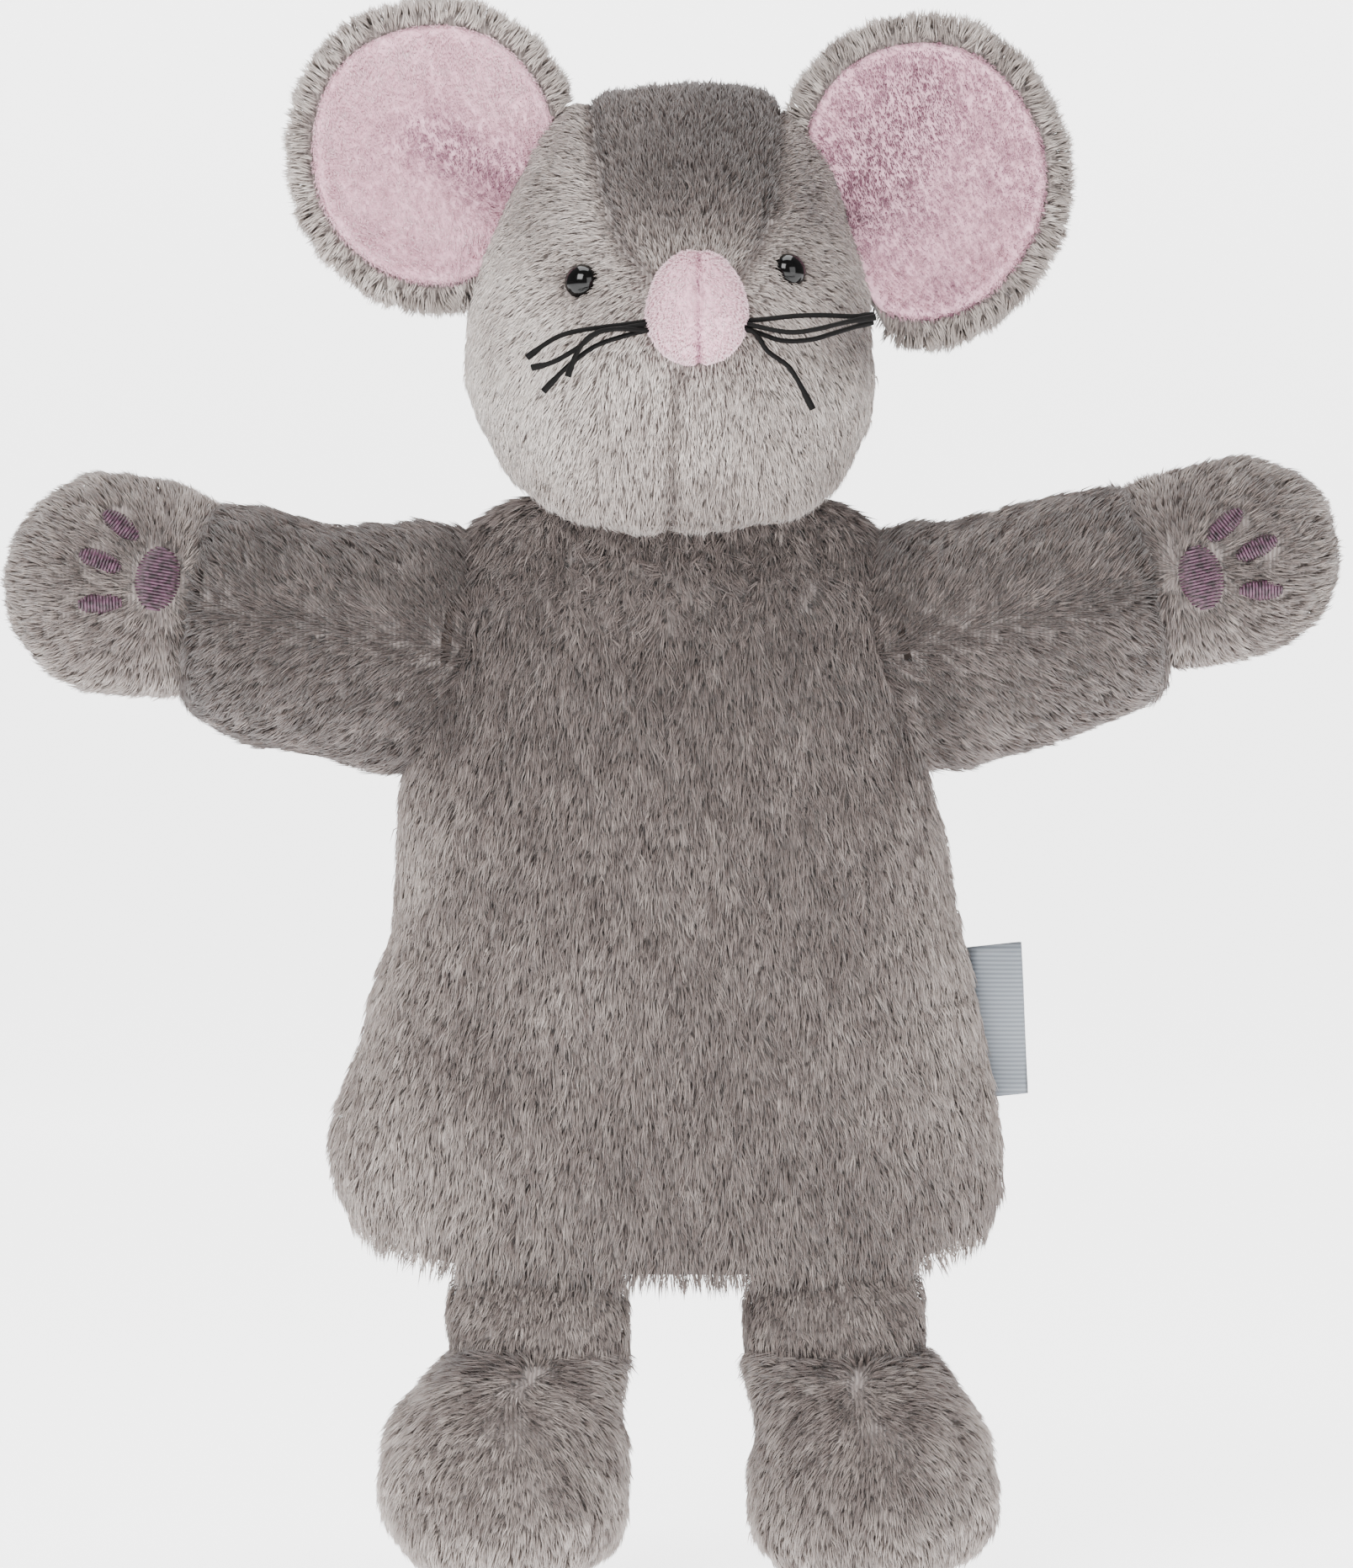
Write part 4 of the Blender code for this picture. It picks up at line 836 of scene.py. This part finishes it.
nose_cloth, tree, shader = material("pink_velour_backing", 0.9, Sheen_Weight=0.3)
nap = pattern(tree, "Noise", 1500.0, Detail=3.0)
surface(tree, shader, nap, [(0.3, "#d6a2b2"), (0.7, "#f2c6d3")], 0.5, 0.0002)
# Cut velour: upright fibres of 1 mm, pale pink, with greyer tones as painted shade in seams and
# hollows.
pink_pile = pile_material("pink_cut_velour", [
    (0.0, "#7d4f61"), (0.3, "#b98499"), (0.6, "#eebccb"), (1.0, "#ffdfe8"),
], "#d9c2c9", 0.15)

NOSE_HALF = (0.0096, 0.0085, 0.011)
NOSE_SEAM_X = 0.0046
lines = []
angles = around(48)
for t in np.linspace(0.04, math.pi - 0.04, 30):
    height = -math.cos(t)
    taper = (1 - 0.12 * height) * math.sin(t)
    line = np.stack([NOSE_CENTRE.x + NOSE_HALF[0] * taper * np.cos(angles),
                     NOSE_CENTRE.y + NOSE_HALF[1] * taper * np.sin(angles),
                     np.full(48, NOSE_CENTRE.z + NOSE_HALF[2] * height)], 1)
    lines.append(line)
nose = skin_mesh("nose_cloth", lines, nose_cloth)
push(nose, lambda p: -0.0008 * near(p[:, 0], NOSE_SEAM_X, 0.0008))
nose_pile = grow_pile(
    "nose_pile", nose, pink_pile, 400, 6.5, 0.001, 0.00024, 52,
    lambda p, n: np.stack([p[:, 0] - NOSE_CENTRE.x, 0 * p[:, 0], -0.012 + 0 * p[:, 0]], 1),
    # Painted shade in the groove of the seam down the nose's middle.
    lambda p, n: (0.9 - 0.6 * near(p[:, 0], NOSE_SEAM_X, 0.0007)
                  + 0.05 * ripple(p, 0.005, 41)),
    keep=lambda p: (p[:, 1] < NOSE_CENTRE.y + 0.005).astype(float), tuft=0.0008, clump=0.25)
for piece in (nose, nose_pile):
    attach(piece, "head")
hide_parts("nose_left_half", "nose_right_half", "nose_stuffing")

# ---------------- ears
# Each ear is a round of plush with a smaller round of pink velour on its front, turned and
# topstitched, hollow in front, with a pleat where it is gathered into the head seam.

# tone is each ear's velour tone, the right one's lower as painted shade; dark is a line of painted
# shade in the hollow along the pleat, and the last number its width.
EARS = {
    "left": {"at": (-0.0495, 0.228), "half": (0.028, 0.0298), "fold": (-0.0312, 0.2164),
             "out": (-0.9047, 0.4261), "dark": [(-0.053, 0, 0.232), (-0.037, 0, 0.225)],
             "tone": 0.76, "painted_shade_width": 0.0085},
    "right": {"at": (0.0505, 0.2225), "half": (0.028, 0.0318), "fold": (0.0312, 0.2164),
              "out": (0.9047, 0.4261), "dark": [(0.049, 0, 0.237), (0.037, 0, 0.219)],
              "tone": 0.44, "painted_shade_width": 0.0105},
}
EAR_Y = 0.0005
for number, (side, ear) in enumerate(EARS.items()):
    (cx, cz), (half_x, half_z) = ear["at"], ear["half"]
    out_way = np.array([ear["out"][0], 0, ear["out"][1]])
    fold_at = np.array([ear["fold"][0], EAR_Y, ear["fold"][1]])
    angles = around(72)

    def ear_shape(profile):
        """Rings of the ear for (share of its radius, depth) pairs, flattened at its root."""
        lines = []
        for share, y in profile:
            wobble = 1 + 0.012 * np.sin(3 * angles + number) + 0.008 * np.sin(5 * angles + 2)
            line = np.stack([cx + half_x * share * wobble * np.cos(angles),
                             np.full(72, EAR_Y + y),
                             cz + half_z * share * wobble * np.sin(angles)], 1)
            past = (line - fold_at) @ out_way
            line += np.maximum(0.0005 - past, 0)[:, None] * out_way * 0.92
            # The hollow in front and the pleat that runs out from the root.
            toward = np.array([cx, EAR_Y, cz]) - fold_at
            along = np.clip(((line - fold_at) @ toward) / (toward @ toward), 0, 1)
            off = np.linalg.norm((line - fold_at) * [1, 0, 1]
                                 - along[:, None] * toward * [1, 0, 1], axis=1)
            pleat = np.exp(-(off / 0.0045) ** 2) * (1 - along) ** 0.7
            line[:, 1] += 0.0042 * pleat * (1 if share < 0.86 else 0.4)
            line[:, 1] += 0.0014 * np.sin(2 * angles + 0.7 + number) * share
            lines.append(line)
        return lines

    shell = [(0.03, 0.0042), (0.3, 0.004), (0.6, 0.0032), (0.82, 0.0022), (0.95, 0.0008),
             (1.0, -0.0012), (0.985, -0.0034), (0.93, -0.0044), (0.88, -0.0042)]
    ear_skin = skin_mesh(side + "_ear_cloth", ear_shape(smooth_line(shell, 3)), backing,
                         (True, False))
    front = [(0.03, -0.0006), (0.3, -0.001), (0.58, -0.0022), (0.73, -0.0036),
             (0.84, -0.0052), (0.89, -0.0046)]
    pink_skin = skin_mesh(side + "_ear_front_cloth", ear_shape(smooth_line(front, 5))[::-1],
                          nose_cloth, (False, True))

    def ear_comb(points, out):
        return np.stack([points[:, 0] - cx, -0.004 * np.ones(len(points)), points[:, 2] - cz], 1)

    def past_root(points):
        """Whether a point is clear of the ear's root, so that it carries pile."""
        return ((points - fold_at) @ out_way > 0.002).astype(float)

    def ear_keep(points):
        share = np.hypot((points[:, 0] - cx) / half_x, (points[:, 2] - cz) / half_z)
        return past_root(points) * np.where((share < 0.8) & (points[:, 1] > 0), 0.5, 1.0)

    rim_pile = grow_pile(
        side + "_ear_pile", ear_skin, taupe_pile, 500 + 20 * number, 5.6, 0.0043, 0.00028, 34,
        # Painted light: the left ear's rim paler than the right one's.
        ear_comb, lambda p, n: 0.7 - 0.12 * number + 0.1 * ripple(p, 0.012, 51 + number),
        keep=ear_keep, wave=0.35)
    velour = grow_pile(
        side + "_ear_velour", pink_skin, pink_pile, 510 + 20 * number, 6.0, 0.0013, 0.00023, 50,
        lambda p, n: np.tile([0.25, 0.0, -1.0], (len(p), 1)),
        # Painted shade: the right ear's velour darker, and a dark band in the hollow along the
        # pleat.
        lambda p, n: (ear["tone"] + 0.07 * ripple(p, 0.018, 52)
                      - 0.52 * near_line(p * [1, 0, 1], ear["dark"], ear["painted_shade_width"])),
        keep=past_root, tuft=0.0009, clump=0.1)
    thicken(ear_skin, 0.0009)
    thicken(pink_skin, 0.0007)
    for piece in (ear_skin, pink_skin, rim_pile, velour):
        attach(piece, side + "_ear")
    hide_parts(side + "_ear_back")
    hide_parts(side + "_ear_front")

# ---------------- sleeves
# Each sleeve is a tube of plush sewn into the armhole, for the thumb or little finger. Its
# pile parts along the middle, up above and down below, and lies towards the paw.

ARMS = {
    "left": {"at": (-0.0465, 0.129), "way": (-0.98686, 0.1616), "wrist": 0.049},
    "right": {"at": (0.0465, 0.129), "way": (0.97155, 0.23684), "wrist": 0.0465},
}
FIBRE = 0.00027  # thickness of a modelled fibre
# Millimetres along the arm, then half sizes up, down and in depth.
SLEEVES = {
    "left": [
        (-11, 9, 12, 6), (-8.5, 16, 18.5, 9), (-4, 19.8, 23.5, 12.5), (6, 20.7, 26.8, 17),
        (14, 19, 27, 19), (25, 18, 26.4, 20), (37, 18, 25.4, 19.6), (44.5, 17.6, 23.6, 18.2),
        (50, 16.2, 20.5, 16.2), (51.2, 12, 13.5, 12),
    ],
    "right": [
        (-11, 9, 12, 6), (-8.5, 16, 18.5, 9), (-4, 19.8, 23.5, 12.5), (6, 20.4, 26.8, 17),
        (15, 18.6, 26.8, 19), (25, 18, 26, 20), (37, 18.4, 25.2, 19.6), (44, 18.4, 23.6, 18.2),
        (49, 17.2, 20, 16.2), (50.2, 12, 13, 12),
    ],
}
angles = around(56)  # for every limb
for number, (side, arm) in enumerate(ARMS.items()):
    base = np.array([arm["at"][0], 0, arm["at"][1]])
    along = np.array([arm["way"][0], 0, arm["way"][1]])
    up = np.array([-arm["way"][1], 0, arm["way"][0]]) * np.sign(arm["way"][0])
    arm.update(base=base, along=along, up=up)
    turn = -np.sign(along[0])
    lines = []
    for s, high, low, deep in smooth_line(SLEEVES[side], 4) / 1000:
        height, depth = outline(low, high, deep, deep, 2.15, angles)
        centre = base + along * s
        line = centre + up * height[:, None] + np.array([0, turn, 0]) * depth[:, None]
        dent = ripple(line, 0.034, 60 + number)[:, None] * 0.0008
        lines.append(line + dent * unit(line - centre))
    sleeve = skin_mesh(side + "_sleeve_cloth", lines, backing, (False, False))

    def arm_parts(points):
        return (points - base) @ along, (points - base) @ up

    def comb_sleeve(points, out):
        _, high = arm_parts(points)
        lean = np.tanh((high + 0.003) / 0.006)[:, None]
        return along * 0.75 + up * lean * 0.9 + np.array([0, 0, -0.15])

    def sleeve_tone_painted_light(points, out):
        far, high = arm_parts(points)
        # Painted light: the right sleeve paler than the left.
        tone = 0.05 + 0.08 * number + 0.07 * ripple(points, 0.014, 61 + number)
        # Painted shade along the parting, with paler pile towards the upper and lower edges as
        # painted light.
        tone -= 0.2 * near(high, -0.003, 0.0022)
        tone += 0.22 * np.clip(np.abs(high + 0.003) / 0.022 - 0.45, 0, 1)
        # Painted shade in the wrist seam and the armhole seam.
        tone -= 0.08 * near(far, 0.05, 0.004)
        return tone - 0.15 * near(far, 0.001, 0.003)

    pile = grow_pile(
        side + "_sleeve_pile", sleeve, taupe_pile, 600 + 20 * number, 3.6, 0.0048, FIBRE, 22,
        comb_sleeve, sleeve_tone_painted_light,
        keep=lambda p: (arm_parts(p)[0] > -0.012) * (0.45 + 0.55 * (p[:, 1] < 0.002)))
    thicken(sleeve, PLUSH_CLOTH)
    for piece in (sleeve, pile):
        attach(piece, side + "_arm")
    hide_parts(side + "_sleeve_front", side + "_sleeve_back")

# ---------------- paws
# Each paw is a stuffed mitten of plush, sewn to the end of the sleeve. Its pile lies out to
# the edge all round.

# Along from the wrist, then half height and half depth, as shares of the paw's own.
PAW_ROWS = [
    (-0.05, 0.62, 0.6), (0.0, 0.74, 0.72), (0.1, 0.88, 0.86), (0.22, 0.97, 0.95),
    (0.38, 1.0, 1.0), (0.55, 1.0, 1.0), (0.7, 0.93, 0.94), (0.82, 0.79, 0.82), (0.91, 0.6, 0.64),
    (0.97, 0.38, 0.42), (1.0, 0.14, 0.16),
]
PAWS = {"left": (0.0405, 0.0206, 0.015), "right": (0.0432, 0.019, 0.015)}
paw_skins = {}
for number, (side, arm) in enumerate(ARMS.items()):
    long, high, deep = PAWS[side]
    base, along, up = arm["base"] + arm["along"] * arm["wrist"], arm["along"], arm["up"]
    turn = -np.sign(along[0])
    lines = []
    for share, tall, thick in smooth_line(PAW_ROWS, 4):
        height, depth = outline(high * tall, high * tall, deep * thick, deep * thick, 2.1, angles)
        line = (base + along * long * share + up * height[:, None]
                + np.array([0, turn, 0]) * depth[:, None])
        lines.append(line)
    paw = skin_mesh(side + "_paw_cloth", lines, backing)
    # The seam round its edge draws in.
    push(paw, lambda p: 0.0006 * ripple(p, 0.02, 70 + number) - 0.0009 * near(p[:, 1], 0, 0.0014))
    paw_skins[side] = paw
    middle = base + along * long * 0.42
    pads = [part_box(side + pad) for pad in ("_palm_pad", "_toe_pad_1", "_toe_pad_2", "_toe_pad_3")]

    def on_pad(points):
        """Whether a point lies under one of the embroidered pads, short of its edge."""
        under = np.zeros(len(points), bool)
        for low, high in pads:
            x, z = (low[0] + high[0]) / 2, (low[2] + high[2]) / 2
            wide, tall = (high[0] - low[0]) / 2 - 0.0003, (high[2] - low[2]) / 2 - 0.0003
            under |= np.hypot((points[:, 0] - x) / wide, (points[:, 2] - z) / tall) < 1
        return under & (points[:, 1] < 0)

    def paw_tone_painted_light(points, out):
        off = np.linalg.norm((points - middle) * [1, 0, 1], axis=1)
        # Painted light: the left paw paler than the right, and both paler round their edges.
        return (0.24 - 0.04 * number + 0.42 * np.clip(off / 0.021 - 0.45, 0, 1)
                + 0.05 * ripple(points, 0.01, 71 + number))

    pile = grow_pile(
        side + "_paw_pile", paw, taupe_pile, 700 + 20 * number, 3.8, 0.0043, FIBRE, 26,
        lambda p, n: (p - middle) * [1, 0.3, 1] / 0.012 + along * 0.55, paw_tone_painted_light,
        keep=lambda p: (~on_pad(p)) * (0.45 + 0.55 * (p[:, 1] < 0.002)))
    for piece in (paw, pile):
        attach(piece, side + "_paw")
    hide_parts(side + "_paw_palm", side + "_paw_back", side + "_paw_stuffing")

# ---------------- palm and toe pads
# Pads in satin stitch: rows of mauve rayon thread laid side by side across each pad, over
# a low padding, so they stand level with the pile round them.

# Rayon thread: a soft shine along each stitch, mauve, darker between stitches.
satin, tree, shader = material("mauve_rayon_thread", 0.36, Anisotropic=0.5)
strand = pattern(tree, "Noise", 1100.0, Detail=2.0)
surface(tree, shader, strand, [(0.35, "#1c0d14"), (0.65, "#57364a")])

STITCH = 0.00062  # from one stitch to the next
PAD_TILT = {"_palm_pad": 0, "_toe_pad_1": 28, "_toe_pad_2": 12, "_toe_pad_3": -12}
PAD_SIZE = {"_palm_pad": (0.0043, 0.0065)}
TOE_SIZE = (0.0045, 0.0019)
STITCH_STEPS = 12  # along a stitch
STITCH_SIDES = 6  # round its thread


def satin_pad(skin, x, z, along_rows, along_stitch, half_rows, half_stitch):
    """Points and faces of stitches that arch side by side over one pad's padding."""
    count = int(2 * half_rows / STITCH)
    points, faces = [], []
    for i in range(count):
        t = -1 + (i + 0.5) * 2 / count
        half = half_stitch * math.sqrt(max(0.0, 1 - t * t)) + 0.0002
        uneven = 0.00012 * ((i * 37 + int(abs(x) * 1e5)) % 17 / 17 - 0.5)
        start = len(points)
        for k in range(STITCH_STEPS + 1):
            a = -1 + 2 * k / STITCH_STEPS
            at = (Vector((x, 0, z)) + along_rows * (half_rows * t)
                  + along_stitch * (half * a + uneven))
            place, _ = from_front(skin, at.x, at.z)
            crown = (1 - a * a) ** 0.5
            height = 0.0013 + 0.0011 * crown * (0.4 + 0.6 * (1 - t * t) ** 0.5)
            radius = STITCH * 0.5 * (0.55 + 0.45 * crown)
            for corner in range(STITCH_SIDES):
                turn = 2 * math.pi * corner / STITCH_SIDES
                points.append(tuple(
                    place + along_rows * (radius * math.cos(turn))
                    - Vector((0, height + radius * math.sin(turn), 0))))
        for k in range(STITCH_STEPS):
            one = start + STITCH_SIDES * k
            for corner in range(STITCH_SIDES):
                other = (corner + 1) % STITCH_SIDES
                faces.append((one + corner, one + STITCH_SIDES + corner,
                              one + STITCH_SIDES + other, one + other))
        faces.append(tuple(range(start, start + STITCH_SIDES)))
        faces.append(tuple(range(len(points) - 1, len(points) - 1 - STITCH_SIDES, -1)))
    return points, faces


for side, arm in ARMS.items():
    for pad, tilt in PAD_TILT.items():
        low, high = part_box(side + pad)
        long, tall = PAD_SIZE.get(pad, TOE_SIZE)
        lean = math.radians(tilt) + math.atan2(arm["way"][1], abs(arm["way"][0]))
        sign = 1 if side == "right" else -1
        ways = [(Vector((sign * math.cos(lean), 0, math.sin(lean))), long),
                (Vector((-sign * math.sin(lean), 0, math.cos(lean))), tall)]
        if pad == "_palm_pad":
            ways.reverse()
        (along_rows, half_rows), (along_stitch, half_stitch) = ways
        points, faces = satin_pad(paw_skins[side], (low[0] + high[0]) / 2, (low[2] + high[2]) / 2,
                                  along_rows, along_stitch, half_rows, half_stitch)
        stitches = smooth_mesh(side + pad + "_stitches", points, faces, satin)
        bpy.context.view_layer.objects.active = stitches
        with bpy.context.temp_override(object=stitches, active_object=stitches,
                                       selected_objects=[stitches]):
            bpy.ops.object.mode_set(mode="EDIT")
            bpy.ops.mesh.select_all(action="SELECT")
            bpy.ops.mesh.normals_make_consistent(inside=False)
            bpy.ops.object.mode_set(mode="OBJECT")
        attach(stitches, side + "_paw")
        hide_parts(side + pad)

# ---------------- legs
# Each leg is a short tube of plush, flat where it is sewn inside the hem and stuffed below.

LEGS = {"left": (-0.0278, -0.0066), "right": (0.0323, 0.0076)}
LEG_Y = -0.013
LEG_ROWS = [(0.004, 0.016, 0.002), (0.0, 0.0162, 0.0026), (-0.006, 0.0168, 0.008),
            (-0.011, 0.017, 0.0118), (-0.016, 0.0166, 0.0128), (-0.02, 0.015, 0.0118),
            (-0.022, 0.011, 0.0085)]
for number, (side, (x, _)) in enumerate(LEGS.items()):
    lines = []
    for z, wide, deep in smooth_line(LEG_ROWS, 4):
        across, depth = outline(wide, wide, deep, deep, 2.2, angles)
        lines.append(np.stack([x + across, LEG_Y + depth, np.full(56, z)], 1))
    leg = skin_mesh(side + "_leg_cloth", lines, backing)
    leg.data.flip_normals()
    pile = grow_pile(
        side + "_leg_pile", leg, taupe_pile, 800 + 20 * number, 3.6, 0.0046, FIBRE, 18,
        # Painted light: the left leg paler than the right.
        comb_down, lambda p, n: 0.36 - 0.06 * number + 0.07 * ripple(p, 0.01, 81),
        keep=lambda p: ((p[:, 2] < 0.001) & (p[:, 2] > -0.02)).astype(float))
    for piece in (leg, pile):
        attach(piece, side + "_leg")
    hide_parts(side + "_leg_tube", side + "_leg_stuffing")

# ---------------- feet
# Each foot is a plump stuffed shape with a round sole sewn under it. Its pile lies out from
# the top and down round the sides.

# Height over the ankle's pivot, half width, toe and heel, and the shift outwards.
FOOT_ROWS = [
    (0.003, 0.0105, 0.0075, 0.007, 0.0), (0.0005, 0.016, 0.012, 0.011, 0.1),
    (-0.004, 0.0185, 0.0175, 0.014, 0.4), (-0.0085, 0.02, 0.0225, 0.0165, 0.7),
    (-0.014, 0.0218, 0.027, 0.0185, 0.95), (-0.02, 0.0229, 0.03, 0.0198, 1.0),
    (-0.025, 0.0233, 0.031, 0.0203, 1.0), (-0.031, 0.023, 0.0308, 0.02, 1.0),
    (-0.036, 0.0212, 0.029, 0.0182, 1.0), (-0.0395, 0.0178, 0.0255, 0.015, 1.0),
    (-0.0415, 0.012, 0.019, 0.0095, 1.0), (-0.042, 0.005, 0.011, 0.002, 1.0),
]
ANKLE_Z = -0.017
for number, (side, (x, shift)) in enumerate(LEGS.items()):
    lines = []
    for z, wide, toe, heel, out in smooth_line(FOOT_ROWS, 4):
        across, depth = outline(wide, wide, (toe + heel) / 2, (toe + heel) / 2, 2.1, angles)
        lines.append(np.stack([x + shift * out + across, LEG_Y + (heel - toe) / 2 + depth,
                               np.full(56, ANKLE_Z + z)], 1))
    foot = skin_mesh(side + "_foot_cloth", lines, backing)
    foot.data.flip_normals()
    push(foot, lambda p: 0.0008 * ripple(p, 0.022, 90 + number))
    crown = np.array([x + shift * 0.5, LEG_Y - 0.022, ANKLE_Z - 0.012])

    def comb_foot(points, out):
        away = (points - crown) * [1, 0.5, 1]
        away /= np.linalg.norm(away, axis=1, keepdims=True) + 0.006
        return away + np.array([0, 0, -0.75]) + 0.35 * ripple(points, 0.02, 95)[:, None] * [1, 0, 0]

    def foot_tone_painted_light(points, out):
        off = np.linalg.norm((points - crown) * [1, 0, 1], axis=1)
        # Painted light: the left foot paler than the right, and paler round the edges.
        tone = 0.33 - 0.06 * number + 0.3 * np.clip(off / 0.024 - 0.4, 0, 1)
        # Painted shade: darker at the top of the foot, round the leg.
        tone -= 0.15 * np.clip((points[:, 2] + 0.022) / 0.006, 0, 1)
        return tone + 0.09 * ripple(points, 0.014, 91 + number)

    pile = grow_pile(
        side + "_foot_pile", foot, taupe_pile, 900 + 20 * number, 3.7, 0.0046, FIBRE, 24,
        comb_foot, foot_tone_painted_light,
        keep=lambda p: (p[:, 2] < -0.0165) * (0.5 + 0.5 * (p[:, 1] < -0.01)))
    for piece in (foot, pile):
        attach(piece, side + "_foot")
    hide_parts(side + "_foot_upper", side + "_foot_sole", side + "_foot_stuffing")
